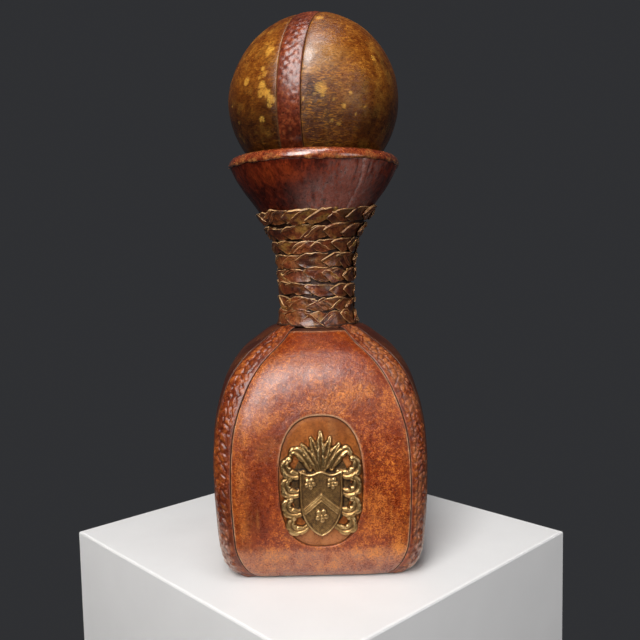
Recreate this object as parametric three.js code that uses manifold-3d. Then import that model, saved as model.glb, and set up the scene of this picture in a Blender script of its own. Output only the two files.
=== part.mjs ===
// Leather-wrapped square decanter with a ball stopper.
// Millimetres, +Z up, the front (badge side) faces -Y, origin on the floor
// under the middle of the base.
import * as THREE from 'three';
import { mergeVertices } from 'three/addons/utils/BufferGeometryUtils.js';
import Module from 'manifold-3d';

const wasm = await Module();
wasm.setup();

// ---------------------------------------------------------------- dimensions
const TOTAL_H = 305;            // floor to top of the ball
const BALL_R = 48.7;            // outside of the ball's leather
const BALL_Z = TOTAL_H - BALL_R;
const BALL_LEATHER = 2.0;
const CORE_R = 46.1;            // turned wooden ball
const BAND_HALF = 6.3;          // half width of the strip round the ball
const BAND_AZ = -14.9;          // degrees, strip seen left of the front
const BAND_TILT = 3.5;          // degrees, strip leans right at the top

const LEATHER = 2.2;            // body panels and corner strips
const GLUE = 0.3;               // between leather and glass
const GLASS_WALL = 3.5;
const SEAM = 0.5;               // groove between a panel and a strip
const BASE_T = 2.5;             // leather pad under the bottle
const BASE_HALF = 45.8;

// half width of the square body at each height, and how square it is there
const BODY_Z = [0, 2, 5, 10, 18, 30, 45, 60, 75, 88, 98, 106, 113, 119, 124, 128.5, 130.4, 131.2];
const BODY_A = [48.4, 50.4, 52.65, 54.6, 55.95, 56.8, 57.5, 57.7, 57.0, 55.35, 53.2, 50.8, 47.0, 41.9, 35.5, 29.4, 25.6, 21.6];
const SQ_Z = [0, 20, 80, 100, 115, 124, 131];
const SQ_N = [6.5, 8, 7.5, 5.5, 3.6, 2.5, 2];
// distance of the seams from the corner's diagonal, on the front/back faces
// and on the side faces
const SEAM_Z = [0, 8, 20, 40, 60, 75, 85, 98, 108, 118, 125, 130, 131.2];
const SEAM_FRONT = [10.6, 8.8, 7.0, 6.8, 7.1, 7.6, 8.3, 9.3, 10.0, 10.0, 8.6, 5.9, 4.6];
const SEAM_SIDE = [9.0, 7.8, 7.2, 7.2, 7.2, 7.1, 6.9, 6.4, 5.8, 5.6, 5.4, 4.6, 4.0];
const PANEL_LOW = 0.4;          // lower edge of the panels
const PANEL_TOP = 131.0;        // upper edge, under the lowest plait

// oval window, inlay and badge on the front panel
const OVAL_Z = 53.65;
const OVAL_HX = 21.7;
const OVAL_HZ = 34.35;
const OVAL_N = 2.55;
const INLAY_SINK = 0.9;         // inlay surface below the panel surface
const INLAY_T = 1.2;
const BADGE_Z = 52.2;
const BADGE_T = 2.4;

// neck and funnel, outside of the leather (radius, height)
const NECK_PROFILE = [
  [21.4, 131.4], [20.0, 137.5], [19.8, 143], [20.2, 152], [20.5, 161], [21.2, 170], [23.5, 180], [25.9, 185], [28.8, 190],
  [31.8, 195], [35.3, 200], [41.2, 208], [45.8, 216], [47.5, 219.8], [48.0, 221.0],
];
const NECK_LEATHER = 1.8;
const NECK_GLUE = 0.3;
const NECK_WALL = 3.0;
const BORE_R = 14.2;
const LINING_T = 1.3;
const SLEEVE_TOP = 190;         // joint of sleeve and funnel, under a plait
const PLAITS = 8;
const PLAIT_T = 3.4;
const PLAIT_LOW = 130.9;
const PLAIT_TOP = 195.2;

const CORK_LOW = 148;
const CORK_R = 13.9;
const CORK_TIP_R = 13.0;
const CORK_TOP = 212.1;
const DOWEL_R = 4.5;
const DOWEL_LOW = 172;
const DOWEL_TOP = 242;
const ROUND = 32;               // sides of the round pieces that nest

// ------------------------------------------------------------------- helpers
function pchip(xs, ys) {
  const n = xs.length, h = [], d = [], m = new Array(n).fill(0);
  for (let i = 0; i < n - 1; i++) { h.push(xs[i + 1] - xs[i]); d.push((ys[i + 1] - ys[i]) / h[i]); }
  for (let i = 1; i < n - 1; i++) {
    if (d[i - 1] * d[i] > 0) {
      const w1 = 2 * h[i] + h[i - 1], w2 = h[i] + 2 * h[i - 1];
      m[i] = (w1 + w2) / (w1 / d[i - 1] + w2 / d[i]);
    }
  }
  m[0] = d[0]; m[n - 1] = d[n - 2];
  return (x) => {
    let i = 0;
    while (i < n - 2 && x > xs[i + 1]) i++;
    const t = (x - xs[i]) / h[i], t2 = t * t, t3 = t2 * t;
    if (t <= 0) return ys[i] + m[i] * (x - xs[i]);
    return ys[i] * (2 * t3 - 3 * t2 + 1) + h[i] * m[i] * (t3 - 2 * t2 + t)
      + ys[i + 1] * (3 * t2 - 2 * t3) + h[i] * m[i + 1] * (t3 - t2);
  };
}
const bodyA = pchip(BODY_Z, BODY_A);
const bodyN = pchip(SQ_Z, SQ_N);
const seamFront = pchip(SEAM_Z, SEAM_FRONT);
const seamSide = pchip(SEAM_Z, SEAM_SIDE);

// meridian of the body, k millimetres under the leather's surface
function under(z, k) {
  const e = 0.25, s = (bodyA(z + e) - bodyA(z - e)) / (2 * e), l = Math.hypot(1, s);
  return { a: bodyA(z) - k / l, z: z + (k * s) / l, n: bodyN(z) };
}
const squareR = (phi, n) => (Math.abs(Math.cos(phi)) ** n + Math.abs(Math.sin(phi)) ** n) ** (-1 / n);
function bodyPoint(z, phi, k) {
  const u = under(z, k), r = u.a * squareR(phi, u.n);
  return new THREE.Vector3(r * Math.cos(phi), r * Math.sin(phi), u.z);
}
// angle from the middle of a face at which the surface is `off` mm from the
// corner's diagonal, measured along the surface
function seamAngle(z, off) {
  const a = bodyA(z), n = bodyN(z), steps = 240;
  let arc = 0, prev = null, last = Math.PI / 4;
  for (let i = 0; i <= steps; i++) {
    const p = Math.PI / 4 * (1 - i / steps), r = a * squareR(p, n);
    const q = [r * Math.cos(p), r * Math.sin(p)];
    if (prev) {
      const d = Math.hypot(q[0] - prev[0], q[1] - prev[1]);
      if (arc + d >= off) return last + (p - last) * ((off - arc) / d);
      arc += d;
    }
    prev = q; last = p;
  }
  return 0;
}

function finish(geo) {
  let g = geo.index ? geo.toNonIndexed() : geo.clone();
  g.deleteAttribute('normal');
  if (g.getAttribute('uv')) g.deleteAttribute('uv');
  g = mergeVertices(g, 1e-4);
  // leave out triangles that the merge closed up
  const idx = Array.from(g.index.array), keep = [];
  for (let i = 0; i < idx.length; i += 3) {
    const [a, b, c] = [idx[i], idx[i + 1], idx[i + 2]];
    if (a !== b && b !== c && c !== a) keep.push(a, b, c);
  }
  const p = g.getAttribute('position');
  let vol = 0;
  const A = new THREE.Vector3(), B = new THREE.Vector3(), C = new THREE.Vector3();
  for (let i = 0; i < keep.length; i += 3) {
    A.fromBufferAttribute(p, keep[i]); B.fromBufferAttribute(p, keep[i + 1]); C.fromBufferAttribute(p, keep[i + 2]);
    vol += A.dot(B.cross(C));
  }
  if (vol < 0) for (let i = 0; i < keep.length; i += 3) [keep[i + 1], keep[i + 2]] = [keep[i + 2], keep[i + 1]];
  g.setIndex(keep);
  return g;
}
function fromTriangles(points, tris) {
  const g = new THREE.BufferGeometry();
  g.setAttribute('position', new THREE.Float32BufferAttribute(points.flatMap((v) => [v.x, v.y, v.z]), 3));
  g.setIndex(tris);
  return finish(g);
}
// closed slab between two sheets of (nu+1) x (nv+1) points
function slab(outer, inner, nu, nv) {
  const pts = [], tris = [], w = nu + 1, m = w * (nv + 1);
  for (const f of [outer, inner])
    for (let j = 0; j <= nv; j++) for (let i = 0; i <= nu; i++) pts.push(f(i, j));
  const q = (a, b, c, d) => tris.push(a, b, c, a, c, d);
  for (let j = 0; j < nv; j++) for (let i = 0; i < nu; i++) {
    const a = j * w + i;
    q(a, a + 1, a + w + 1, a + w);
    q(m + a, m + a + w, m + a + w + 1, m + a + 1);
  }
  for (let i = 0; i < nu; i++) {
    q(i, m + i, m + i + 1, i + 1);
    const t = nv * w + i;
    q(t, t + 1, m + t + 1, m + t);
  }
  for (let j = 0; j < nv; j++) {
    const l = j * w, r = j * w + nu;
    q(l, l + w, m + l + w, m + l);
    q(r, m + r, m + r + w, r + w);
  }
  return fromTriangles(pts, tris);
}
// closed solid through rings of points, first and last rings are single points
function loft(rings) {
  const pts = [], tris = [], start = [];
  for (const r of rings) { start.push(pts.length); pts.push(...r); }
  for (let k = 0; k + 1 < rings.length; k++) {
    const a = rings[k], b = rings[k + 1], m = Math.max(a.length, b.length);
    for (let i = 0; i < m; i++) {
      const j = (i + 1) % m;
      const A = start[k] + (a.length > 1 ? i : 0), A2 = start[k] + (a.length > 1 ? j : 0);
      const B = start[k + 1] + (b.length > 1 ? i : 0), B2 = start[k + 1] + (b.length > 1 ? j : 0);
      if (a.length > 1) tris.push(A, A2, B2);
      if (b.length > 1) tris.push(A, B2, B);
    }
  }
  return fromTriangles(pts, tris);
}
// solid of revolution about Z from (radius, height) pairs
function turned(profile, segments) {
  const g = new THREE.LatheGeometry(profile.map(([r, z]) => new THREE.Vector2(r, z)), segments);
  g.rotateX(Math.PI / 2);
  return finish(g);
}
function ring(profile, segments) { return turned([...profile, profile[0]], segments); }
// a polyline moved sideways by d, to the left of its direction of travel
function aside(line, d) {
  return line.map((p, i) => {
    const a = line[Math.max(0, i - 1)], b = line[Math.min(line.length - 1, i + 1)];
    const x = b[0] - a[0], y = b[1] - a[1], l = Math.hypot(x, y);
    return [p[0] - (y / l) * d, p[1] + (x / l) * d];
  });
}
function manifoldOf(geo) {
  const g = finish(geo);
  return new wasm.Manifold(new wasm.Mesh({
    numProp: 3,
    vertProperties: new Float32Array(g.getAttribute('position').array),
    triVerts: new Uint32Array(g.index.array),
  }));
}
function geometryOf(man) {
  const m = man.getMesh(), g = new THREE.BufferGeometry();
  g.setAttribute('position', new THREE.Float32BufferAttribute(Array.from(m.vertProperties), 3));
  g.setIndex(Array.from(m.triVerts));
  return finish(g);
}

const group = new THREE.Group();
group.name = 'leather_wrapped_decanter';
function add(name, geo, color, roughness, metalness) {
  geo.computeVertexNormals();
  const mesh = new THREE.Mesh(geo, new THREE.MeshStandardMaterial({ color, roughness, metalness }));
  mesh.name = name;
  group.add(mesh);
}
const RED_LEATHER = 0x7a3a20, STRIP_LEATHER = 0x6b3016, TAN_LEATHER = 0xa8622a, DARK_LEATHER = 0x3d1d12;
const PLAIT_LEATHER = 0x6f4f26, BALL_LEATHER_C = 0x97642a, RIM_LEATHER = 0x9a4b22;

// --------------------------------------------------------------- square body
const ROWS = [PANEL_LOW, 2.2, 5.5, 12, 26, 46, 66, 82, 94, 103, 110.5, 117, 122.5, 127, 129.8, PANEL_TOP];
const FACES = { front: -Math.PI / 2, right: 0, back: Math.PI / 2, left: Math.PI };

function panel(face) {
  const mid = FACES[face], seam = face === 'front' || face === 'back' ? seamFront : seamSide;
  const nu = 8, nv = ROWS.length - 1;
  const lim = ROWS.map((z) => seamAngle(z, seam(z) + SEAM / 2));
  const at = (k) => (i, j) => bodyPoint(ROWS[j], mid + lim[j] * Math.sin((Math.PI / 2) * (2 * i / nu - 1)), k);
  return slab(at(0), at(LEATHER), nu, nv);
}
function cornerStrip(mid, frontSide) {
  // frontSide +1: the front/back face lies on the lower-angle side
  const nu = 4, nv = ROWS.length - 1;
  const lo = ROWS.map((z) => Math.PI / 4 - seamAngle(z, (frontSide > 0 ? seamFront(z) : seamSide(z)) - SEAM / 2));
  const hi = ROWS.map((z) => Math.PI / 4 - seamAngle(z, (frontSide > 0 ? seamSide(z) : seamFront(z)) - SEAM / 2));
  const at = (k) => (i, j) => bodyPoint(ROWS[j], mid - lo[j] + (lo[j] + hi[j]) * (i / nu), k);
  return slab(at(0), at(LEATHER), nu, nv);
}

// oval outline on the front, as (x, z)
function oval(t, hx, hz, n) {
  const c = Math.cos(t), s = Math.sin(t);
  return [hx * Math.sign(c) * Math.abs(c) ** (2 / n), OVAL_Z + hz * Math.sign(s) * Math.abs(s) ** (2 / n)];
}
// front surface of the body at (x, z), k millimetres under the leather
function frontY(x, z, k) {
  const a = bodyA(z) - k, n = bodyN(z);
  return -a * (1 - (Math.abs(x) / a) ** n) ** (1 / n);
}

let frontPanel = manifoldOf(panel('front'));
{
  const shape = new THREE.Shape();
  const m = 40;
  for (let i = 0; i < m; i++) {
    const [x, z] = oval((2 * Math.PI * i) / m, OVAL_HX, OVAL_HZ, OVAL_N);
    if (i === 0) shape.moveTo(x, z); else shape.lineTo(x, z);
  }
  const cutter = new THREE.ExtrudeGeometry(shape, { depth: 12, bevelEnabled: false });
  cutter.rotateX(Math.PI / 2);          // outline into XZ, depth along -Y
  cutter.translate(0, -50, 0);
  frontPanel = frontPanel.subtract(manifoldOf(cutter));
}
add('front_panel', geometryOf(frontPanel), RED_LEATHER, 0.45, 0);
for (const f of ['back', 'left', 'right']) add(f + '_panel', panel(f), RED_LEATHER, 0.45, 0);
add('corner_strip_front_right', cornerStrip(-Math.PI / 4, 1), STRIP_LEATHER, 0.5, 0);
add('corner_strip_back_right', cornerStrip(Math.PI / 4, -1), STRIP_LEATHER, 0.5, 0);
add('corner_strip_back_left', cornerStrip((3 * Math.PI) / 4, 1), STRIP_LEATHER, 0.5, 0);
add('corner_strip_front_left', cornerStrip((-3 * Math.PI) / 4, -1), STRIP_LEATHER, 0.5, 0);

// leather pad the bottle stands on
{
  const shape = new THREE.Shape();
  for (let i = 0; i < 40; i++) {
    const p = (2 * Math.PI * (i + 0.5)) / 40, r = BASE_HALF * squareR(p, 6);
    if (i === 0) shape.moveTo(r * Math.cos(p), r * Math.sin(p));
    else shape.lineTo(r * Math.cos(p), r * Math.sin(p));
  }
  add('base_pad', finish(new THREE.ExtrudeGeometry(shape, { depth: BASE_T, bevelEnabled: false })), DARK_LEATHER, 0.7, 0);
}

// --------------------------------------------------------- inlay and badge
// disc on the body's front, star shaped about its middle
function frontDisc(outline, rings, segments, back, front) {
  const pts = [], tris = [];
  const put = (x, z, k) => { pts.push(new THREE.Vector3(x, frontY(x, z, 0) + k, z)); return pts.length - 1; };
  const grid = (k, isFront) => {
    const rows = [[put(0, OVAL_Z, isFront ? k(0, OVAL_Z, 0) : back)]];
    for (const s of rings) {
      const row = [];
      for (let i = 0; i < segments; i++) {
        const [ox, oz] = outline((2 * Math.PI * i) / segments);
        const x = ox * s, z = OVAL_Z + (oz - OVAL_Z) * s;
        row.push(put(x, z, isFront ? k(x, z, s) : back));
      }
      rows.push(row);
    }
    return rows;
  };
  const F = grid(front, true), B = grid(null, false);
  const cap = (rows, flip) => {
    for (let i = 0; i < segments; i++) {
      const j = (i + 1) % segments;
      const t = [rows[0][0], rows[1][i], rows[1][j]];
      tris.push(...(flip ? t.reverse() : t));
      for (let r = 1; r + 1 < rows.length; r++) {
        const q = [rows[r][i], rows[r + 1][i], rows[r + 1][j], rows[r][i], rows[r + 1][j], rows[r][j]];
        tris.push(...(flip ? q.reverse() : q));
      }
    }
  };
  cap(F, false); cap(B, true);
  const a = F[F.length - 1], b = B[B.length - 1];
  for (let i = 0; i < segments; i++) {
    const j = (i + 1) % segments;
    tris.push(a[i], b[i], b[j], a[i], b[j], a[j]);
  }
  return fromTriangles(pts, tris);
}
add('badge_inlay', frontDisc(
  (t) => oval(t, OVAL_HX - 0.4, OVAL_HZ - 0.4, OVAL_N), [0.4, 0.75, 1], 32,
  INLAY_SINK + INLAY_T, () => INLAY_SINK), TAN_LEATHER, 0.4, 0);

// cast badge: a shield between leaf scrolls, under a spray of leaves
const BADGE_OUTLINE = [
  // polar angle in degrees from +X (right), radius in mm; left is mirrored
  [-90, 27.6], [-80, 25.4], [-70, 21.6], [-60, 19.2], [-50, 19.4], [-40, 18.2], [-30, 19.4],
  [-20, 18.6], [-10, 19.8], [0, 19.0], [10, 20.0], [20, 20.6], [30, 21.8], [40, 22.0],
  [50, 20.8], [58, 21.6], [66, 23.4], [74, 25.0], [82, 26.6], [90, 27.8],
];
const badgeR = pchip(BADGE_OUTLINE.map((p) => p[0]), BADGE_OUTLINE.map((p) => p[1]));
const badgeEdge = (t) => {
  let d = ((t * 180) / Math.PI + 360) % 360;
  if (d > 180) d -= 360;
  if (d > 90) d = 180 - d; else if (d < -90) d = -180 - d;
  const r = badgeR(d);
  return [r * Math.cos(t), BADGE_Z + r * Math.sin(t)];
};
add('badge', frontDisc(badgeEdge, [0.35, 0.7, 1], 40, INLAY_SINK - 0.3,
  (x, z, s) => INLAY_SINK - 0.3 - BADGE_T * (1 - 0.45 * s * s)), 0x8a6a34, 0.45, 0.9);

// ---------------------------------------------------------- neck and funnel
const glassOut = aside(NECK_PROFILE, NECK_LEATHER + NECK_GLUE);
const glassIn = aside(NECK_PROFILE, NECK_LEATHER + NECK_GLUE + NECK_WALL).map(([r, z]) => [z < 165 ? BORE_R + 0.3 : Math.max(r, BORE_R), z]);
const liningOut = aside(NECK_PROFILE, NECK_LEATHER + NECK_GLUE + NECK_WALL + 0.3);
const liningIn = aside(NECK_PROFILE, NECK_LEATHER + NECK_GLUE + NECK_WALL + 0.3 + LINING_T);

{
  const seg = ROUND;
  const circle = (r, z, n) => Array.from({ length: seg }, (_, i) => {
    const p = (2 * Math.PI * i) / seg, q = r * squareR(p, n);
    return new THREE.Vector3(q * Math.cos(p), q * Math.sin(p), z);
  });
  const body = (k, rows) => rows.map((z) => { const u = under(z, k); return circle(u.a, u.z, u.n); });
  const kOut = LEATHER + GLUE, kIn = LEATHER + GLUE + GLASS_WALL;
  const neckOut = glassOut.slice(1, -2), neckIn = glassIn.slice(1, -2).reverse();
  const low = under(1.3, kOut).z;
  const rings = [
    [new THREE.Vector3(0, 0, low)],
    ...body(kOut, [1.3, ...ROWS.slice(2, -2)]),
    circle(22.0, 126.8, 2), circle(18.4, 128.8, 2), circle(17.45, 131, 2),
    ...neckOut.map(([r, z]) => circle(r, z, 2)),
    circle(45.4, 220.4, 2), circle(44.7, 221.8, 2), circle(43.0, 221.8, 2), circle(42.2, 220.6, 2),
    ...neckIn.map(([r, z]) => circle(r, z, 2)),
    circle(14.2, 132, 2), circle(15.2, 127, 2), circle(18.5, 123.8, 2),
    ...body(kIn, [122.5, 117, 110.5, 103, 94, 82, 66, 46, 26, 12]),
    circle(45.5, 9.6, 6), circle(38, 8.2, 5),
    [new THREE.Vector3(0, 0, 8.0)],
  ];
  add('glass_bottle', loft(rings), 0x5d7a52, 0.08, 0);
}

// sleeve and funnel cover share the outer profile, split under a plait
const before = NECK_PROFILE.filter((p) => p[1] <= SLEEVE_TOP);
const inner = aside(NECK_PROFILE, NECK_LEATHER).map(([r, z]) => [r, Math.min(z, 221.0)]);
const innerBefore = NECK_PROFILE.map((p, i) => (p[1] <= SLEEVE_TOP ? inner[i] : null)).filter(Boolean);
const after = NECK_PROFILE.filter((p) => p[1] >= SLEEVE_TOP);
const innerAfter = NECK_PROFILE.map((p, i) => (p[1] >= SLEEVE_TOP ? inner[i] : null)).filter(Boolean);
const along = (pts, i, d) => {     // end point pulled back along its line
  const p = pts[i], q = pts[i === 0 ? 1 : i - 1], l = Math.hypot(q[0] - p[0], q[1] - p[1]);
  const out = pts.slice();
  out[i] = [p[0] + ((q[0] - p[0]) / l) * d, p[1] + ((q[1] - p[1]) / l) * d];
  return out;
};
add('neck_sleeve', ring([...along(before, before.length - 1, 0.2), ...along(innerBefore, innerBefore.length - 1, 0.2).reverse()], ROUND), DARK_LEATHER, 0.6, 0);
// the funnel cover ends under the binding, which is folded over the rim
const bind = after.length - 2;
const both = (pts) => along(along(pts.slice(0, bind + 1), 0, 0.2), bind, 0.2);
add('funnel_cover', ring([...both(after), ...both(innerAfter).reverse()], ROUND), DARK_LEATHER, 0.55, 0);
const foldOut = along(after.slice(bind), 0, 0.2), foldIn = along(innerAfter.slice(bind), 0, 0.2);
add('rim_binding', ring([
  foldIn[1], foldIn[0], foldOut[0], [48.2, 220.3], [48.1, 221.7], [47.4, 223.2], [46.0, 224.5], [44.2, 225.0], [42.2, 224.4],
  [40.8, 222.8], [40.1, 220.2], [41.7, 220.2], [42.3, 221.6], [43.2, 222.2], [44.6, 222.2],
], ROUND), RIM_LEATHER, 0.45, 0);
{
  const from = NECK_PROFILE.findIndex((p) => p[1] >= 185), to = NECK_PROFILE.findIndex((p) => p[1] >= 219);
  const o = liningOut.slice(from, to), i = liningIn.slice(from, to);
  add('mouth_lining', ring([...o, [41.4, 219.7], [40.1, 219.9], ...i.reverse()], ROUND), 0x4a2715, 0.6, 0);
}

// plaited rings, one above the other up the neck
{
  const r = (z) => {
    const i = Math.min(NECK_PROFILE.length - 2, NECK_PROFILE.findIndex((p, k) => k + 1 === NECK_PROFILE.length || NECK_PROFILE[k + 1][1] >= z));
    const [a, b] = [NECK_PROFILE[i], NECK_PROFILE[i + 1]];
    return a[0] + ((b[0] - a[0]) * (z - a[1])) / (b[1] - a[1]);
  };
  const pitch = (PLAIT_TOP - PLAIT_LOW) / PLAITS;
  for (let k = 0; k < PLAITS; k++) {
    const z0 = PLAIT_LOW + k * pitch + 0.3, z1 = PLAIT_LOW + (k + 1) * pitch - 0.3;
    const s = (r(z1) - r(z0)) / (z1 - z0), l = Math.hypot(1, s);
    // point at height z on the plait's back, d mm out from it
    const at = (z, d) => [r(z0) + s * (z - z0) + (d + 0.45) / l, z - (s * (d + 0.45)) / l];
    add('neck_plait_' + (k + 1), ring([
      at(z0, 0), at(z0, PLAIT_T * 0.62), at(z0 + 1.6, PLAIT_T), at(z1 - 1.6, PLAIT_T), at(z1, PLAIT_T * 0.62), at(z1, 0),
    ], 24), PLAIT_LEATHER, 0.5, 0);
  }
}

// ------------------------------------------------------------------- stopper
add('cork_plug', turned([
  [0, CORK_LOW], [CORK_TIP_R - 0.7, CORK_LOW], [CORK_TIP_R, CORK_LOW + 0.8], [CORK_R, CORK_LOW + 16], [CORK_R, CORK_TOP - 1],
  [CORK_R - 0.4, CORK_TOP], [DOWEL_R + 0.3, CORK_TOP], [DOWEL_R + 0.3, DOWEL_LOW - 0.3], [0, DOWEL_LOW - 0.3],
], 28), 0xa9825a, 0.85, 0);
add('ball_dowel', turned([
  [0, DOWEL_LOW], [DOWEL_R - 0.8, DOWEL_LOW], [DOWEL_R, DOWEL_LOW + 1], [DOWEL_R, DOWEL_TOP - 1], [DOWEL_R - 0.8, DOWEL_TOP], [0, DOWEL_TOP],
], 16), 0xb48a58, 0.7, 0);
{
  const seat = CORK_TOP + 0.3, low = Math.acos((BALL_Z - seat) / CORE_R);
  const arc = [];
  for (let i = 0; i <= 12; i++) {
    const t = low + ((Math.PI - low) * i) / 12;
    arc.push([i === 12 ? 0 : CORE_R * Math.sin(t), BALL_Z - CORE_R * Math.cos(t)]);
  }
  add('ball_core', turned([[0, DOWEL_TOP + 0.3], [DOWEL_R + 0.3, DOWEL_TOP + 0.3], [DOWEL_R + 0.3, seat], ...arc], 24), 0xa37b4c, 0.7, 0);
}
{
  const az = (BAND_AZ * Math.PI) / 180, tilt = (BAND_TILT * Math.PI) / 180;
  // normal of the plane the strip lies in
  const normal = new THREE.Vector3(Math.cos(az), Math.sin(az), 0).applyAxisAngle(new THREE.Vector3(0, 1, 0), tilt).normalize();
  const turn = new THREE.Quaternion().setFromUnitVectors(new THREE.Vector3(0, 1, 0), normal);
  const hole = new THREE.CylinderGeometry(CORK_R + 1.6, CORK_R + 1.6, 30, 28);
  hole.rotateX(Math.PI / 2);
  hole.translate(0, 0, CORK_TOP - 6);
  const cut = manifoldOf(hole);
  const place = (profile, seg) => {
    const g = new THREE.LatheGeometry(profile.map(([r, h]) => new THREE.Vector2(r, h)), seg);
    g.applyQuaternion(turn);
    g.translate(0, 0, BALL_Z);
    return geometryOf(manifoldOf(g).subtract(cut));
  };
  const Ri = BALL_R - BALL_LEATHER, w0 = BAND_HALF + 0.2;
  const cap = (sgn) => {
    const out = [], ins = [], m = 8;
    const a0 = Math.asin(w0 / BALL_R), b0 = Math.asin(w0 / Ri);
    for (let i = 0; i <= m; i++) {
      const a = a0 + ((Math.PI / 2 - a0) * i) / m, b = b0 + ((Math.PI / 2 - b0) * i) / m;
      out.push([i === m ? 0 : BALL_R * Math.cos(a), sgn * BALL_R * Math.sin(a)]);
      ins.push([i === m ? 0 : Ri * Math.cos(b), sgn * Ri * Math.sin(b)]);
    }
    return [...ins.reverse(), ...out];
  };
  add('ball_cover_right', place(cap(1), ROUND), BALL_LEATHER_C, 0.5, 0);
  add('ball_cover_left', place(cap(-1), ROUND), BALL_LEATHER_C, 0.5, 0);
  const w1 = BAND_HALF - 0.2, b = [];
  for (const h of [-w1, 0, w1]) b.push([Math.sqrt(BALL_R * BALL_R - h * h), h]);
  for (const h of [w1, 0, -w1]) b.push([Math.sqrt(Ri * Ri - h * h), h]);
  add('ball_strip', place([...b, b[0]], 44), 0x7d4423, 0.4, 0);
}

export default group;
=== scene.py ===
import math
import bpy
import numpy as np
from mathutils import Matrix, Vector


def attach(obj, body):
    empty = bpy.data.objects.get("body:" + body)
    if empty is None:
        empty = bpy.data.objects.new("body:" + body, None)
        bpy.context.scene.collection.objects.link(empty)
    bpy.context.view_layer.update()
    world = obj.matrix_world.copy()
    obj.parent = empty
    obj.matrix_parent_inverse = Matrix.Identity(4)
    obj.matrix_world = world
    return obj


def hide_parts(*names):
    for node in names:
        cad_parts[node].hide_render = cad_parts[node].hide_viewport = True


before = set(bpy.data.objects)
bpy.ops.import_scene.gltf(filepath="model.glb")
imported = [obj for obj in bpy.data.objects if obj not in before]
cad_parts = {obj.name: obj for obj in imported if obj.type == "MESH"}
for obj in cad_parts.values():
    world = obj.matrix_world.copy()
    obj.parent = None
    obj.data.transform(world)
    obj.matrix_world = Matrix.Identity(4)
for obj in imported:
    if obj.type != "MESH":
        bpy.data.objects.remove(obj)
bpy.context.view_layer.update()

# Lengths below are millimetres; meshes are scaled to metres when they are made.
TAU = 2 * math.pi

# ------------------------------------------------------------------ numbers
BALL_R = 48.7
BALL_Z = 305 - BALL_R
BALL_LEATHER = 2.0
BAND_HALF = 6.3
BAND_AZ = math.radians(-14.9)
BAND_TILT = math.radians(3.5)
LEATHER = 2.2
BODY_Z = [0, 2, 5, 10, 18, 30, 45, 60, 75, 88, 98, 106, 113, 119, 124, 128.5, 130.4, 131.2]
BODY_A = [48.4, 50.4, 52.65, 54.6, 55.95, 56.8, 57.5, 57.7, 57.0, 55.35, 53.2, 50.8, 47.0, 41.9, 35.5, 29.4, 25.6, 21.6]
SQ_Z = [0, 20, 80, 100, 115, 124, 131]
SQ_N = [6.5, 8, 7.5, 5.5, 3.6, 2.5, 2]
SEAM_Z = [0, 8, 20, 40, 60, 75, 85, 98, 108, 118, 125, 130, 131.2]
SEAM_FRONT = [10.6, 8.8, 7.0, 6.8, 7.1, 7.6, 8.3, 9.3, 10.0, 10.0, 8.6, 5.9, 4.6]
SEAM_SIDE = [9.0, 7.8, 7.2, 7.2, 7.2, 7.1, 6.9, 6.4, 5.8, 5.6, 5.4, 4.6, 4.0]
PANEL_LOW, PANEL_TOP = 0.4, 131.0
OVAL_Z, OVAL_HX, OVAL_HZ, OVAL_N = 53.65, 21.7, 34.35, 2.55
BADGE_Z = 52.2
INLAY_SINK = 0.9
NECK_Z = [131.4, 137.5, 143, 152, 161, 170, 180, 185, 190, 195, 200, 208, 216, 221]
NECK_R = [21.4, 20.0, 19.8, 20.2, 20.5, 21.2, 23.5, 25.9, 28.8, 31.8, 35.3, 41.2, 45.8, 48.0]
PLAITS, PLAIT_LOW, PLAIT_TOP = 8, 130.9, 195.2


# ------------------------------------------------------------------- helpers
def pchip(xs, ys):
    xs, ys = np.array(xs, float), np.array(ys, float)
    h = np.diff(xs)
    d = np.diff(ys) / h
    m = np.zeros(len(xs))
    for i in range(1, len(xs) - 1):
        if d[i - 1] * d[i] > 0:
            w1, w2 = 2 * h[i] + h[i - 1], h[i] + 2 * h[i - 1]
            m[i] = (w1 + w2) / (w1 / d[i - 1] + w2 / d[i])
    m[0], m[-1] = d[0], d[-1]

    def f(x):
        x = np.asarray(x, float)
        i = np.clip(np.searchsorted(xs, x) - 1, 0, len(xs) - 2)
        t = (x - xs[i]) / h[i]
        t2, t3 = t * t, t * t * t
        y = (ys[i] * (2 * t3 - 3 * t2 + 1) + h[i] * m[i] * (t3 - 2 * t2 + t)
             + ys[i + 1] * (3 * t2 - 2 * t3) + h[i] * m[i + 1] * (t3 - t2))
        y = np.where(x < xs[0], ys[0] + m[0] * (x - xs[0]), y)
        return np.where(x > xs[-1], ys[-1] + m[-1] * (x - xs[-1]), y)
    return f


body_a, body_n = pchip(BODY_Z, BODY_A), pchip(SQ_Z, SQ_N)
seam_front, seam_side = pchip(SEAM_Z, SEAM_FRONT), pchip(SEAM_Z, SEAM_SIDE)
neck_r = pchip(NECK_Z, NECK_R)


def smooth(a, b, x):
    t = np.clip((np.asarray(x, float) - a) / (b - a), 0, 1)
    return t * t * (3 - 2 * t)


def _hash(ix, iy, iz, seed):
    h = (ix.astype(np.int64) * 374761393 + iy.astype(np.int64) * 668265263
         + iz.astype(np.int64) * 2147483647 + seed * 1274126177) & 0xFFFFFFFF
    h = ((h ^ (h >> 13)) * 1274126177) & 0xFFFFFFFF
    h = ((h ^ (h >> 16)) * 2246822519) & 0xFFFFFFFF
    return ((h ^ (h >> 15)) & 0xFFFFFF) / float(0xFFFFFF)


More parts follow.
